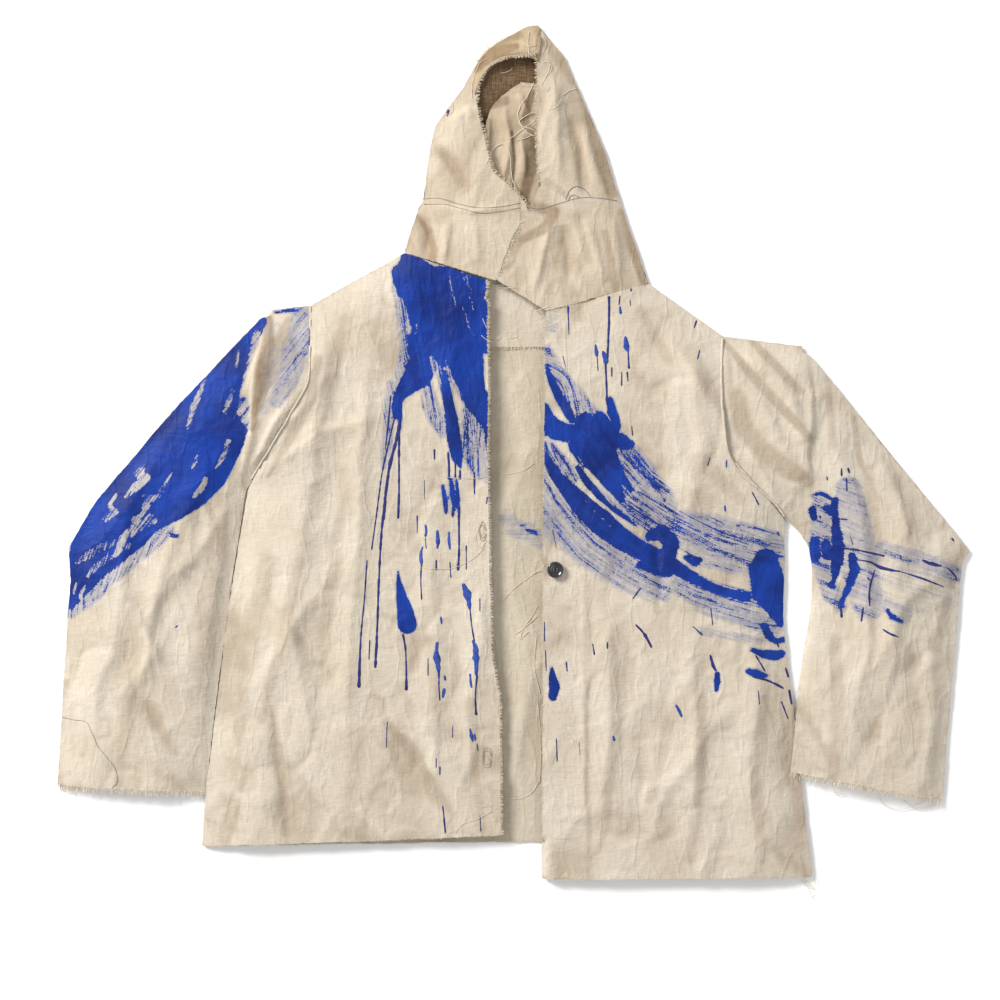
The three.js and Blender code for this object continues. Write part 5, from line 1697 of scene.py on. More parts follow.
# %% [markdown]
# ## Drops and runs on the left front
# The left front was spattered: many short runs, in all directions from the long arm of paint.
# %% Drops and runs on the left front
LEFT_DROPS = [
    [(90, 119, 1.4), (91, 112, 2.1), (92, 105, 1.5)], [(98, 112, 1.5), (101, 103, 3.2), (102, 97, 1.5)],
    [(123, 128, 1.5), (124, 118, 3), (126, 111, 1.3)], [(60, 161, 1.4), (60, 153, 1.3)],
    [(109, -311, 1.3), (111, -317, 1.7)], [(117, 161, 1.1), (118, 152, 1.4)],
    [(232, -58, 1.1), (233, -65, 1.2)], [(234, -8, 1.1), (234, -17, 0.9)],
    [(178, -277, 1.1), (182, -284, 2), (185, -291, 1)], [(291, -87, 1.1), (293, -92, 1.1)],
    [(210, -89, 0.8), (214, -94, 0.7)], [(244, -80, 1.1), (249, -81, 0.7)],
]
LEFT_RUNS = [
    [(105, 172, 1.4), (105, 146, 1.2), (104, 118, 1.2), (103, 102, 1.3)],
    [(101, 100, 1.1), (102, 80, 1), (103, 52, 1.5)], [(126, 113, 1), (127, 92, 1.2)],
    [(92, 105, 0.7), (93, 89, 0.6)], [(60, 155, 0.7), (61, 129, 0.4)],
    [(134, -189, 0.8), (144, -200, 1.5), (152, -215, 1.1)], [(140, -149, 0.8), (131, -161, 0.9)],
    [(216, -222, 0.9), (219, -233, 1.5), (223, -241, 1.1)],
    [(262, -246, 1.5), (280, -251, 1.2), (298, -260, 1.4)],
    [(295, -274, 1), (303, -294, 0.8)], [(304, -261, 1.3), (307, -278, 1.1)],
    [(266, -223, 0.9), (277, -241, 0.9)], [(197, -191, 0.8), (208, -201, 0.9)],
    [(30, -89, 0.9), (30, -102, 1)], [(30, -135, 1), (30, -140, 1)],
    [(34, -186, 0.6), (34, -208, 0.8)], [(30, -279, 1), (30, -296, 1)],
    [(31, -316, 0.7), (30, -335, 0.8), (30, -351, 1.4)], [(47, -314, 0.6), (48, -340, 0.7)],
    [(58, -230, 1.1), (59, -241, 0.8)], [(87, -210, 0.8), (89, -223, 0.8)],
    [(103, -208, 0.9), (103, -216, 0.9)], [(262, -43, 0.7), (270, -58, 0.8)],
    [(205, 113, 0.8), (202, 102, 0.6)], [(216, -5, 0.8), (213, -15, 0.6)],
    [(108, 94, 0.8), (108, 83, 0.6)], [(119, 89, 0.6), (119, 73, 0.8)], [(125, 89, 1), (126, 78, 0.7)],
    [(130, 30, 0.6), (131, 18, 0.7)], [(269, -261, 0.4), (270, -277, 0.8)],
    [(117, 173, 0.7), (116, 162, 0.7)], [(128, 168, 0.6), (129, 161, 0.6)],
    [(131, 189, 1), (129, 177, 0.8)],
    [(217, -171, 0.7), (219, -190, 0.6)], [(72, -318, 0.4), (73, -333, 0.4)],
    [(202, 146, 1), (199, 137, 0.9)], [(35, -217, 0.6), (36, -241, 0.6)],
    [(54, 107, 0.4), (58, 91, 0.4)], [(43, -85, 0.4), (47, -105, 0.4)],
    [(288, -206, 0.9), (293, -215, 0.9)], [(300, -237, 1), (304, -250, 1.1)],
]
drips("drops_left_front", "front_left_cloth", LEFT_DROPS, DROP_BLUE, 3)
drips("runs_left_front", "front_left_cloth", LEFT_RUNS, RUN_BLUE, 4)

# %% [markdown]
# ## Drops on the sleeves and the hood
# The left sleeve's thin lines point at its cuff. One drop lies on the hood's right side.
# %% Drops on the sleeves and the hood
RIGHT_SLEEVE_DROPS = [[(-378, -92, 1.1), (-371, -93, 1.4)], [(-369, -190, 0.9), (-372, -193, 0.7)],
                      [(-280, 139, 1.1), (-280, 136, 0.9)], [(-313, -153, 0.7), (-315, -173, 0.9)]]
LEFT_SLEEVE_DROPS = [
    [(360, -17, 1.1), (360, -26, 1.2)], [(367, -17, 1.3), (369, -23, 1.3)],
    [(344, -26, 0.9), (345, -31, 0.8)],
    [(365, -28, 0.9), (366, -43, 0.9)], [(361, -105, 1), (381, -108, 1), (408, -114, 1.2)],
    [(368, -117, 0.8), (390, -120, 0.9), (405, -127, 1.7), (425, -131, 0.8)],
    [(425, -131, 0.6), (447, -138, 1), (474, -148, 0.6)],
    [(449, -118, 0.9), (458, -122, 1.8), (471, -125, 1)],
    [(478, -127, 0.8), (486, -135, 1.5), (489, -140, 1)],
    [(397, -129, 0.8), (391, -149, 1.1), (391, -169, 1)], [(384, -170, 1), (382, -186, 0.9)],
    [(405, -194, 0.8), (413, -199, 1.3), (423, -203, 0.6)], [(359, -73, 0.8), (367, -74, 0.8)],
    [(483, -94, 1.4), (486, -98, 1.1)], [(360, -167, 1.2), (361, -182, 1.2)],
    [(337, -69, 1), (338, -73, 1)],
    [(370, -92, 0.3), (373, -102, 0.6)], [(388, -137, 1), (392, -141, 0.9)],
    [(322, -162, 0.8), (321, -217, 0.8)],
]
drips("drops_right_sleeve", "sleeve_right_cloth", RIGHT_SLEEVE_DROPS, RUN_BLUE, 5)
drips("drops_left_sleeve", "sleeve_left_cloth", LEFT_SLEEVE_DROPS, RUN_BLUE, 6)
HOOD_DROP = [(-71, 384, 1.2), (-72, 377, 1.5), (-73, 371, 1.1)]
drips("drop_hood", "hood_right_cloth", [HOOD_DROP], RUN_BLUE, 7)

# %% [markdown]
# ## Fringes and stitches
# A raw edge sheds short bent yarns, and a seam is a row of short raised stitches. Both are one
# small thing repeated along a path, so one Geometry Nodes tree makes them: it turns, rolls and
# scales each copy with a fixed seed.
# %% The row tree
def row_tree():
    tree = bpy.data.node_groups.new("row_along_path", "GeometryNodeTree")
    sockets = {}
    for label, kind, value in (
            ("Path", "NodeSocketGeometry", None), ("Spacing", "NodeSocketFloat", 0.002),
            ("Length", "NodeSocketFloat", 0.003), ("Thickness", "NodeSocketFloat", 0.0002),
            ("Back", "NodeSocketFloat", 0.0), ("Arch", "NodeSocketFloat", 0.0005),
            ("Sink", "NodeSocketFloat", 0.0), ("Turn", "NodeSocketFloat", 0.0),
            ("Spread", "NodeSocketFloat", 0.0), ("Roll", "NodeSocketFloat", 0.0),
            ("Least", "NodeSocketFloat", 0.8), ("Most", "NodeSocketFloat", 1.2),
            ("Seed", "NodeSocketInt", 1), ("Finish", "NodeSocketMaterial", None)):
        socket = tree.interface.new_socket(label, in_out="INPUT", socket_type=kind)
        if value is not None:
            socket.default_value = value
        sockets[label] = socket.identifier
    tree.interface.new_socket("Row", in_out="OUTPUT", socket_type="NodeSocketGeometry")
    net = Net(tree)
    source, target = net.node("NodeGroupInput"), net.node("NodeGroupOutput")
    given = source.outputs
    curve = net.node("GeometryNodeMeshToCurve")
    net.join(given["Path"], curve.inputs[0])
    spaced = net.node("GeometryNodeResampleCurve", mode="LENGTH")
    net.join(curve.outputs[0], spaced.inputs["Curve"])
    net.join(given["Spacing"], spaced.inputs["Length"])
    item = net.node("GeometryNodeCurveQuadraticBezier")
    item.inputs["Resolution"].default_value = 4
    down = net.math("MULTIPLY", given["Sink"], -1.0)
    end = net.math("ADD", given["Back"], given["Length"])
    half = net.math("ADD", given["Back"], net.math("MULTIPLY", given["Length"], 0.5))
    for label, x, z in (("Start", given["Back"], down), ("Middle", half, given["Arch"]),
                        ("End", end, down)):
        spot = net.node("ShaderNodeCombineXYZ")
        net.join(x, spot.inputs[0])
        net.join(z, spot.inputs[2])
        net.join(spot.outputs[0], item.inputs[label])
    ring = net.node("GeometryNodeCurvePrimitiveCircle")
    ring.inputs["Resolution"].default_value = 4
    net.join(given["Thickness"], ring.inputs["Radius"])
    yarn = net.node("GeometryNodeCurveToMesh")
    net.join(item.outputs[0], yarn.inputs["Curve"])
    net.join(ring.outputs[0], yarn.inputs["Profile Curve"])
    yarn.inputs["Fill Caps"].default_value = True

    def chance(low, high, step):
        made = net.node("FunctionNodeRandomValue", data_type="FLOAT")
        net.join(low, made.inputs[2])
        net.join(high, made.inputs[3])
        net.join(net.math("ADD", given["Seed"], float(step)), made.inputs["Seed"])
        return made.outputs[1]

    facing = net.node("FunctionNodeAlignRotationToVector", axis="X", pivot_axis="Z")
    net.join(net.node("GeometryNodeInputTangent").outputs[0], facing.inputs["Vector"])
    angle = net.math("ADD", given["Turn"],
                     chance(net.math("MULTIPLY", given["Spread"], -1.0), given["Spread"], 1))
    roll = chance(net.math("MULTIPLY", given["Roll"], -1.0), given["Roll"], 2)
    turned = facing.outputs[0]
    for x, z in ((0.0, angle), (roll, 0.0)):
        spin = net.node("ShaderNodeCombineXYZ")
        net.join(x, spin.inputs[0])
        net.join(z, spin.inputs[2])
        euler = net.node("FunctionNodeEulerToRotation")
        net.join(spin.outputs[0], euler.inputs[0])
        both = net.node("FunctionNodeRotateRotation", rotation_space="LOCAL")
        net.join(turned, both.inputs[0])
        net.join(euler.outputs[0], both.inputs[1])
        turned = both.outputs[0]
    copies = net.node("GeometryNodeInstanceOnPoints")
    net.join(spaced.outputs[0], copies.inputs["Points"])
    net.join(yarn.outputs[0], copies.inputs["Instance"])
    net.join(turned, copies.inputs["Rotation"])
    net.join(chance(given["Least"], given["Most"], 3), copies.inputs["Scale"])
    real = net.node("GeometryNodeRealizeInstances")
    net.join(copies.outputs[0], real.inputs[0])
    clad = net.node("GeometryNodeSetMaterial")
    net.join(real.outputs[0], clad.inputs["Geometry"])
    net.join(given["Finish"], clad.inputs["Material"])
    net.join(clad.outputs[0], target.inputs[0])
    return tree, sockets


ROW_TREE, ROW_SOCKETS = row_tree()
print("row tree", len(ROW_TREE.nodes), "nodes")

# %% [markdown]
# ## A row along a path
# The paths become edges, the tree runs on them, and the result is kept as a plain mesh, with the
# modifier gone.
# %% A row along a path
def row(name, cloth, slot, paths, finish, **sizes):
    """Runs the row tree along the paths and keeps the result as a plain mesh."""
    corners, edges = [], []
    for path in paths:
        first = len(corners)
        corners += [tuple(p) for p in path]
        edges += [(i, i + 1) for i in range(first, len(corners) - 1)]
    mesh = bpy.data.meshes.new(name + "_path")
    mesh.from_pydata(corners, edges, [])
    base = bpy.data.objects.new(name + "_path", mesh)
    scene.collection.objects.link(base)
    maker = base.modifiers.new("row", "NODES")
    maker.node_group = ROW_TREE
    maker[ROW_SOCKETS["Finish"]] = finish
    for label, value in sizes.items():
        maker[ROW_SOCKETS[label]] = value
    graph = bpy.context.evaluated_depsgraph_get()
    made = bpy.data.meshes.new_from_object(base.evaluated_get(graph))
    made.name = name
    bpy.data.objects.remove(base)
    piece = link(name, made)
    DETAILS.append((piece, cloth, slot))
    print(name, len(made.polygons), "faces")
    return piece


# %% [markdown]
# ## Raw edges
# No edge of this jacket is hemmed. The front edge, the hood's opening and the facing shed short
# bent yarns, the cuffs shed long ones, and the hems only a fuzz. Each row runs along a stretch of
# a rim, from near one place to near another, in millimetres.
# %% Raw edges
RIM_IN, RIM_SINK = 0.6 * MM, 0.15 * MM


def rim_between(name, start, end):
    """The rim of a cloth from near one place to near another, anticlockwise, on the cloth."""
    loop = RIMS[name][:, :2]
    first, last = (int(np.argmin(np.hypot(*(loop - np.array(p) * MM).T))) for p in (start, end))
    count = (last - first) % len(loop)
    run = np.array([loop[(first + k) % len(loop)] for k in range(count + 1)])
    mean = loop.mean(0)
    inner = run + (mean - run) / np.hypot(*(mean - run).T)[:, None] * RIM_IN
    z = [top_at([name], x, y) or CANVAS_TOP for x, y in inner]
    return np.column_stack([run, np.array(z) - RIM_SINK])


OUTWARDS = -math.pi / 2
ANY_ROLL = 3.14
RAW = {"Spacing": 0.8 * MM, "Length": 2.8 * MM, "Thickness": 0.24 * MM, "Back": -0.6 * MM,
       "Arch": 0.7 * MM, "Turn": OUTWARDS, "Spread": 0.7, "Roll": ANY_ROLL, "Least": 0.4, "Most": 1.5}
LONG_RAW = dict(RAW, Spacing=0.6 * MM, Length=5.5 * MM, Arch=1.2 * MM, Spread=0.45)
FUZZ = dict(RAW, Spacing=1.6 * MM, Length=1.6 * MM, Thickness=0.18 * MM)
HOOD_RAW, HOOD_RAW_LEFT = dict(RAW, Length=3.4 * MM), dict(RAW, Length=3.0 * MM)
EDGES = [
    ("fringe_front_right", "front_right_cloth", (-9, -419), (-29, 190), RAW, 11),
    ("fringe_front_left", "front_left_cloth", (36, 155), (30, -470), FUZZ, 12),
    ("fringe_hem_right", "front_right_cloth", (-342, -435), (-15, -421), FUZZ, 13),
    ("fringe_hem_left", "front_left_cloth", (31, -472), (327, -470), FUZZ, 14),
    ("fringe_cuff_right", "sleeve_right_cloth", (-503, -364), (-338, -371), LONG_RAW, 15),
    ("fringe_cuff_left", "sleeve_left_cloth", (304, -359), (472, -389), LONG_RAW, 16),
    ("fringe_hood_right", "hood_right_cloth", (-18, 193), (-39, 430), HOOD_RAW, 17),
    ("fringe_hood_left", "hood_left_cloth", (26, 454), (30, 298), HOOD_RAW_LEFT, 18),
    ("fringe_band_right", "hood_right_cloth", (-116, 221), (-21, 192), FUZZ, 19),
    ("fringe_band_left", "hood_left_cloth", (36, 157), (144, 181), FUZZ, 20),
    ("fringe_facing", "neck_facing_cloth", (-50, 120), (49, 120), RAW, 21),
    ("fringe_back_hem", "back_cloth", (-328, -430), (315, -430), FUZZ, 22),
]
for name, cloth, start, end, sizes, seed in EDGES:
    slot = "canvas" if cloth not in ("back_cloth", "neck_facing_cloth") else "canvas_inside"
    row(name, cloth, slot, [rim_between(cloth, start, end)], CREAM_THREAD, Seed=seed, **sizes)

# %% [markdown]
# ## Seams and topstitching
# Two lines of stitches hold the hood to its band on the right, one darker line on the left. The
# crown seam and the facing have short lines of their own. The rows of the hood stand for its
# stitching in the design.
# %% Seams and topstitching
STITCH = {"Spacing": 2.6 * MM, "Length": 2.2 * MM, "Thickness": 0.36 * MM, "Back": -1.05 * MM,
          "Arch": 0.35 * MM, "Sink": 0.1 * MM, "Spread": 0.08, "Least": 0.85, "Most": 1.1}
HIGH_STITCH, LOW_STITCH = 0.1 * MM, 0.05 * MM  # how high a line lies on the cloth
SAND_THREAD = thread_material("sand_thread", srgb(150, 134, 118), srgb(110, 94, 84))
band_right = laid_path([(-102, 280), (-81, 280), (-59, 273), (-37, 269), (-15, 270), (6, 274)],
                       ["hood_right_cloth"], HIGH_STITCH)
band_fold = laid_path([(-98, 274), (-75, 273), (-57, 268), (-35, 263), (-13, 265), (6, 269)],
                      ["hood_right_cloth"], HIGH_STITCH)
band_left = laid_path([(15, 270), (30, 268), (51, 274), (73, 280), (95, 280), (113, 278)],
                      ["hood_left_cloth"], LOW_STITCH)
stitch_right = row("band_stitches_right", "hood_right_cloth", "thread_cream", [band_right, band_fold],
                   SAND_THREAD, Seed=31, **STITCH)
stitch_left = row("band_stitches_left", "hood_left_cloth", "thread_navy", [band_left],
                  NAVY_THREAD, Seed=32, **STITCH)
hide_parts("hood_stitching_right")
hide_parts("hood_stitching_left")
crown = row("crown_seam_stitches", "hood_left_cloth", "thread_cream",
            [laid_path([(28, 468), (30, 454), (32, 436)], ["hood_left_cloth"], HIGH_STITCH)],
            CREAM_THREAD, Seed=33, **dict(STITCH, Spread=0.5))
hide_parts("hood_crown_seam")
facing_line = laid_path([(-29, 179), (2, 177), (35, 168)], ["neck_facing_cloth"], LOW_STITCH)
row("facing_stitches", "neck_facing_cloth", "thread_cream", [facing_line], CREAM_THREAD,
    Seed=34, **STITCH)

# %% [markdown]
# ## Rolled seams
# At the armholes the sleeve is set in with a thick, puckered seam that stands up from the cloth.
# It is a tube of canvas laid along the armhole, pressed flat, with small lumps.
# %% Rolled seams
SEAM_STEP, SEAM_LIFT, SEAM_FLAT = 1.6 * MM, 0.35, 0.8
PUCKER, PUCKER_SIZE = 0.25 * MM, 0.006


def rolled_seam(name, points, names, size):
    path = laid_path(points, names, size * SEAM_LIFT, step=SEAM_STEP, wander=0.5, seed=len(name))
    path[:, 2] += PUCKER * noise(path[:, 1], path[:, 0], PUCKER_SIZE, 4)
    tubes(name, [path], size, CANVAS, "back_cloth", "canvas", sides=8, flat=SEAM_FLAT)
    print(name, len(path), "points")


rolled_seam("armhole_seam_left",
            [(230, 127), (229, 91), (229, 58), (232, 25), (237, -3), (251, -24), (271, -41),
             (288, -56), (299, -71)], ["front_left_cloth", "sleeve_left_cloth"], 1.5 * MM)
rolled_seam("armhole_seam_right",
            [(-224, 162), (-224, 124), (-225, 82), (-237, 56), (-255, 25), (-272, -3), (-290, -30)],
            ["front_right_cloth", "sleeve_right_cloth"], 1.1 * MM)

# %% [markdown]
# ## Loose threads
# Yarns pulled out of the raw edges lie across the opening, hang in loops inside the hood and curl
# off the cuffs. Each is a thin round tube through a few points, in millimetres. It is slack
# enough to bridge the steps between the cloths.
# %% Loose threads
ALL = list(CLOTHS)
THREAD_LIFT, THREAD_SLACK = 0.25 * MM, 14
THIN = 0.26 * MM


def threads(name, cloth, lines, finish=CREAM_THREAD, radius=0.32 * MM, slot="thread_cream"):
    paths = [laid_path(line, ALL, THREAD_LIFT, slack=THREAD_SLACK, wander=0.5, seed=i + len(name))
             for i, line in enumerate(lines)]
    tubes(name, paths, radius, finish, cloth, slot, sides=5)
    print(name, len(lines))


threads("threads_opening", "back_cloth", [
    [(35, -124), (18, -137), (2, -149), (-15, -166)],
    [(27, -169), (20, -182), (12, -193), (8, -206), (17, -197)], [(26, -180), (12, -193), (3, -200)],
    [(25, -206), (23, -234), (27, -256), (30, -267)], [(-9, -381), (7, -382), (21, -375), (29, -360)],
    [(29, -366), (30, -316), (26, -272)]])
threads("threads_line", "front_right_cloth", [
    [(-81, -25), (-68, -28), (-48, -29), (-30, -27)]], radius=THIN)
threads("thread_across", "back_cloth", [[(-25, -25), (-12, -24), (7, -21), (23, -12)]],
        radius=0.28 * MM)
threads("threads_neck", "neck_facing_cloth", [
    [(-34, 148), (-28, 135), (-18, 130), (-15, 135)], [(-36, 129), (-26, 122), (-13, 127)],
    [(-13, 131), (-4, 126), (5, 128)], [(-26, 186), (-9, 184), (5, 181)],
    [(-26, 183), (-9, 181), (7, 180)], [(5, 181), (18, 168), (30, 152), (37, 144)],
    [(12, 177), (21, 162), (32, 148)], [(24, 157), (31, 158), (39, 160)],
    [(30, 144), (36, 139), (38, 146)]])

# %% [markdown]
# ## Threads of the fronts and the cuffs
# The fronts have a few long yarns near their corners. Those of the right cuff are greyer.
# %% Threads of the fronts and the cuffs
threads("threads_left_edge", "front_left_cloth", [
    [(34, -274), (47, -290), (62, -311), (82, -338)], [(37, -420), (46, -424), (60, -424)]],
        radius=THIN)
threads("threads_corner_right", "front_right_cloth", [
    [(-64, -419), (-57, -409), (-41, -404), (-24, -395)], [(-37, -391), (-26, -389), (-15, -393)],
    [(-106, -125), (-92, -128), (-72, -128), (-56, -123), (-41, -114), (-31, -102)],
    [(-34, -74), (-41, -91), (-37, -105), (-29, -96)]], radius=THIN)
threads("threads_cuff_right", "sleeve_right_cloth", [
    [(-499, -291), (-486, -294), (-471, -296), (-464, -307), (-458, -322), (-449, -333),
     (-441, -344), (-436, -357), (-438, -367)],
    [(-497, -364), (-500, -371), (-493, -375)], [(-438, -365), (-442, -371), (-435, -376)]],
        finish=thread_material("grey_thread", srgb(150, 140, 132), srgb(110, 100, 96)),
        radius=0.24 * MM)
threads("threads_cuff_left", "sleeve_left_cloth", [
    [(403, -379), (410, -389), (425, -394), (442, -391), (453, -386)],
    [(431, -383), (445, -393), (467, -389)],
    [(354, -371), (357, -378), (366, -377)], [(453, -382), (467, -380), (472, -389), (465, -395)]])
threads("threads_hem_left", "front_left_cloth", [
    [(318, -472), (324, -479), (333, -477), (334, -469)], [(322, -474), (328, -487), (332, -498)],
    [(321, -470), (332, -483), (325, -489)]])

# %% [markdown]
# ## Threads of the hood
# Loops hang in the face opening and over the crown. One thin bluish loop lies on the left side.
# %% Threads of the hood
threads("threads_hood_inside", "hood_inner_cloth", [
    [(-29, 318), (-25, 331), (-18, 338), (-10, 339), (-5, 331), (-3, 316), (-1, 300), (-3, 292)],
    [(23, 408), (15, 393), (5, 375), (9, 361), (18, 357), (25, 353)],
    [(23, 375), (12, 370), (6, 364), (14, 353), (24, 348)],
    [(-5, 345), (4, 351), (13, 358), (24, 366)], [(3, 344), (12, 346), (21, 350)],
    [(8, 408), (16, 404), (24, 406)], [(-3, 289), (2, 293), (-1, 300)]], radius=0.4 * MM)
threads("threads_hood_left", "hood_left_cloth", [
    [(32, 430), (39, 430), (39, 421), (35, 412), (30, 403)], [(35, 432), (42, 425), (38, 415)],
    [(32, 460), (36, 452), (31, 436)], [(30, 405), (36, 397), (40, 403)],
    [(30, 384), (38, 377), (47, 380), (52, 389)], [(53, 393), (62, 399), (70, 402)]],
        radius=0.3 * MM)
threads("thread_bluish_loop", "hood_left_cloth", [
    [(57, 278), (62, 289), (70, 293), (79, 289), (86, 280)], [(60, 277), (65, 283), (73, 280)]],
        finish=NAVY_THREAD, radius=THIN, slot="thread_navy")
threads("threads_hood_crown", "hood_back_cloth", [
    [(17, 465), (16, 452), (17, 434)], [(10, 452), (18, 447), (25, 449)],
    [(-15, 419), (-6, 421), (-1, 425)], [(16, 441), (21, 436), (26, 432)]], radius=0.34 * MM)
threads("threads_hood_right", "hood_right_cloth", [
    [(-28, 435), (-37, 430), (-43, 416), (-46, 401), (-46, 390)],
    [(-76, 381), (-73, 373), (-67, 377), (-68, 386), (-74, 387)]], radius=0.3 * MM)

# %% [markdown]
# ## Buttonholes
# Two buttonholes were marked and half worked in the right front's edge: a slit with thread gone
# round it twice.
# %% Buttonholes
RING_SIZES = (1.0, 0.72)
RING_START, RING_END, RING_POINTS, RING_WOBBLE = 0.2, 6.1, 18, 0.5
RING_THREAD, RING_LIFT, SLIT_LIFT = 0.28 * MM, 0.2 * MM, 0.05 * MM
BAR = {"Spacing": 0.9 * MM, "Length": 2.4 * MM, "Thickness": 0.16 * MM, "Back": -1.2 * MM,
       "Arch": 0.2 * MM, "Turn": math.pi / 2, "Spread": 0.35, "Least": 0.7, "Most": 1.2}


def buttonhole(name, node, middle, wide, tall, seed):
    x, y = middle
    rings = []
    for turn, size in enumerate(RING_SIZES):
        ring = [(x + size * wide * math.cos(a) + RING_WOBBLE * math.sin(3 * a + seed),
                 y + size * tall * math.sin(a))
                for a in np.linspace(RING_START * turn, RING_END, RING_POINTS)]
        rings.append(laid_path(ring, ["front_right_cloth"], RING_LIFT))
    piece = tubes(name, rings, RING_THREAD,
                  thread_material(name + "_thread", srgb(160, 148, 134), srgb(120, 108, 98)),
                  "front_right_cloth", "thread_cream", sides=5)
    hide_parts(node)
    slit = laid_path([(x, y - tall * 0.5), (x + 0.4, y), (x, y + tall * 0.5)],
                     ["front_right_cloth"], SLIT_LIFT)
    row(name + "_stitches", "front_right_cloth", "thread_cream", [slit], CREAM_THREAD, Seed=seed,
        **BAR)


buttonhole("buttonhole_upper_work", "buttonhole_upper", (-34, -87), 4.0, 10.5, 3)
buttonhole("buttonhole_lower_work", "buttonhole_lower", (-29, -336), 5.5, 11.0, 5)

# %% [markdown]
# ## The button
# One black button, turned from a rod: a rounded rim, a dished middle and four holes. Its outline,
# in shares of its radius and its height, is spun round and the holes are drilled through.
# %% The button
low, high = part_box("button")
BUTTON_MIDDLE = (low + high) / 2
BUTTON_RADIUS = (high.x - low.x) / 2
BUTTON_HEIGHT = high.z - low.z
PROFILE = ((0.0, 0.0), (0.80, 0.0), (0.93, 0.16), (1.0, 0.45), (0.985, 0.72), (0.93, 0.92),
           (0.86, 1.0), (0.78, 0.95), (0.70, 0.78), (0.60, 0.62), (0.40, 0.55), (0.0, 0.52))


SPIN_STEPS, HOLE_SIDES, DRILL_LENGTH = 72, 20, 20 * MM
HOLE_RADIUS, HOLE_OFF = 0.85 * MM, 1.6 * MM
BUTTON_SHARP = math.radians(42)


def drill(button, x, y):
    """Cuts one hole through the button and keeps the result as its mesh."""
    bpy.ops.mesh.primitive_cylinder_add(vertices=HOLE_SIDES, radius=HOLE_RADIUS,
                                        depth=DRILL_LENGTH, location=(x, y, 0))
    bit = bpy.context.object
    cut = button.modifiers.new("hole", "BOOLEAN")
    cut.operation, cut.object, cut.solver = "DIFFERENCE", bit, "EXACT"
    graph = bpy.context.evaluated_depsgraph_get()
    drilled = bpy.data.meshes.new_from_object(button.evaluated_get(graph))
    button.modifiers.remove(cut)
    button.data = drilled
    bpy.data.objects.remove(bit)


def turned_button():
    form = bmesh.new()
    points = [form.verts.new((BUTTON_RADIUS * r, 0, BUTTON_HEIGHT * z)) for r, z in PROFILE]
    lines = [form.edges.new(pair) for pair in zip(points[:-1], points[1:])]
    bmesh.ops.spin(form, geom=points + lines, axis=(0, 0, 1), cent=(0, 0, 0), steps=SPIN_STEPS,
                   angle=2 * math.pi)
    bmesh.ops.remove_doubles(form, verts=form.verts, dist=MERGE)
    bmesh.ops.recalc_face_normals(form, faces=form.faces)
    mesh = bpy.data.meshes.new("turned_button")
    form.to_mesh(mesh)
    form.free()
    button = bpy.data.objects.new("turned_button", mesh)
    scene.collection.objects.link(button)
    for x, y in ((-1, 0), (1, 0), (0, -1), (0, 1)):
        drill(button, x * HOLE_OFF, y * HOLE_OFF)
    button.data.transform(Matrix.Translation((BUTTON_MIDDLE.x, BUTTON_MIDDLE.y, low.z)))
    button.data.polygons.foreach_set("use_smooth", [True] * len(button.data.polygons))
    button.data.set_sharp_from_angle(angle=BUTTON_SHARP)
    return button


black_button = turned_button()
print("button", round(2 * BUTTON_RADIUS / MM, 1), "mm wide")

# %% [markdown]
# ## The button's finish
# Cast black resin, polished, with fine scratches from wear that dull it a little. The thread
# that carries it is the design's own piece, and gets a dark thread finish.
# %% The button's finish
BLACK, WORN_BLACK = (0.008, 0.011, 0.012, 1), (0.022, 0.026, 0.028, 1)
POLISH, POLISH_ROUGHNESS = 0.6, 0.08


def gloss_black():
    finish, net, shader = new_finish("gloss_black")
    place = net.node("ShaderNodeTexCoord").outputs["Object"]
    wear = net.noise(net.stretch(place, (400, 900, 400)), 1.0, 4.0, 0.6)
    net.join(net.mix(net.ramp(wear, 0.4, 0.7), BLACK, WORN_BLACK), shader.inputs["Base Color"])
    net.join(net.ramp(wear, 0.35, 0.7, 0.16, 0.34), shader.inputs["Roughness"])
    shader.inputs["Coat Weight"].default_value = POLISH
    shader.inputs["Coat Roughness"].default_value = POLISH_ROUGHNESS
    return finish


black_button.data.materials.clear()
black_button.data.materials.append(gloss_black())
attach(black_button, "button")
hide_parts("button")
NODES["button_thread"].data.materials.clear()
NODES["button_thread"].data.materials.append(
    thread_material("button_thread_dark", srgb(120, 116, 112), srgb(60, 58, 58)))
print("button and its thread are finished")

# %% [markdown]
# ## Where each piece goes
# A cloth that crosses a fold is baked in place here. The direction square to the fold is worked
# out, and the far side of each fold tells which way it runs, but no bend is made from it.
# Anything lying on a cloth is told with the same word as the cloth.
# %% Where each piece goes
FAR_SIDE = {"front_right_fold": "lapel_right", "front_left_fold": "lapel_left",
            "sleeve_right_fold": "sleeve_right_front", "sleeve_left_fold": "sleeve_left_front",
            "hood_fold": "hood_side_left"}


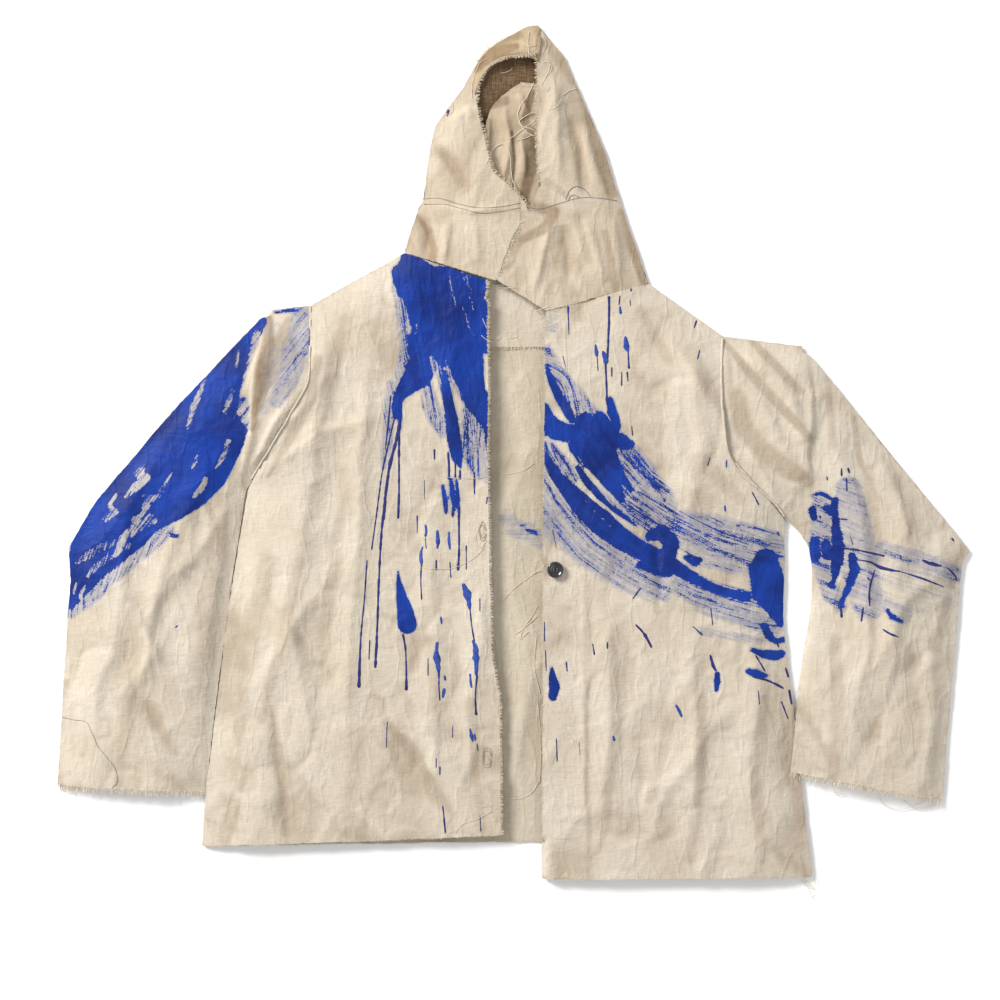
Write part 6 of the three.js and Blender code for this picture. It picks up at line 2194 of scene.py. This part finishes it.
def follow(piece, how):
    """Rides a piece on the named body; over a named joint it only bakes the piece in place."""
    if how not in JOINTS:
        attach(piece, how)
        return
    joint = JOINTS[how]
    place, axis = Vector(joint["pos_m"]), Vector(joint["axis"])
    square = axis.cross(Vector((0, 0, 1))).normalized()
    low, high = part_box(FAR_SIDE[how])
    if ((low + high) / 2 - place).dot(square) < 0:
        square = -square
    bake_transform(piece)


print("folds", list(FAR_SIDE))

# %% [markdown]
# ## The cloths and what lies on them
# For each cloth: the body it rides on or the fold it crosses, its finish slot, and the design's
# pieces that it stands for. Its flat size and area are those of its cut outline, before folding.
# %% The cloths and what lies on them
CLOTH_TABLE = {
    "back_cloth": ("torso", "canvas_inside", ["back_panel"]),
    "neck_facing_cloth": ("torso", "canvas_inside", ["back_neck_facing"]),
    "front_right_cloth": ("front_right_fold", "painted_canvas",
                          ["front_panel_right", "lapel_right"]),
    "front_left_cloth": ("front_left_fold", "painted_canvas",
                         ["front_panel_left", "lapel_left"]),
    "front_facing_cloth": ("front_left", "canvas", ["front_facing_left"]),
    "sleeve_right_cloth": ("sleeve_right_fold", "painted_canvas",
                           ["sleeve_cap_right_front", "sleeve_right_front"]),
    "sleeve_right_under": ("sleeve_right_fold", "canvas",
                           ["sleeve_cap_right_back", "sleeve_right_back"]),
    "sleeve_left_cloth": ("sleeve_left_fold", "painted_canvas",
                          ["sleeve_cap_left_front", "sleeve_left_front"]),
    "sleeve_left_under": ("sleeve_left_fold", "canvas",
                          ["sleeve_cap_left_back", "sleeve_left_back"]),
    "hood_back_cloth": ("hood_fold", "canvas_inside", ["hood_band_back", "hood_back"]),
    "hood_inner_cloth": ("hood", "canvas", ["hood_inner_fold"]),
    "hood_crown_cloth": ("hood", "canvas_inside", []),
    "hood_left_cloth": ("hood_fold", "canvas", ["hood_band_left", "hood_side_left"]),
    "hood_right_cloth": ("hood_fold", "canvas", ["hood_band_right", "hood_side_right"]),
}
TRIMS = {name: [] for name in CLOTH_TABLE}
for piece, cloth, slot in DETAILS:
    follow(piece, CLOTH_TABLE[cloth][0])
    TRIMS[cloth].append(piece)
for name, (how, slot, nodes) in CLOTH_TABLE.items():
    cloth = CLOTHS[name]
    follow(cloth, how)
    if nodes:
        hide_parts(*nodes)
    low, high = RIMS[name].min(0), RIMS[name].max(0)
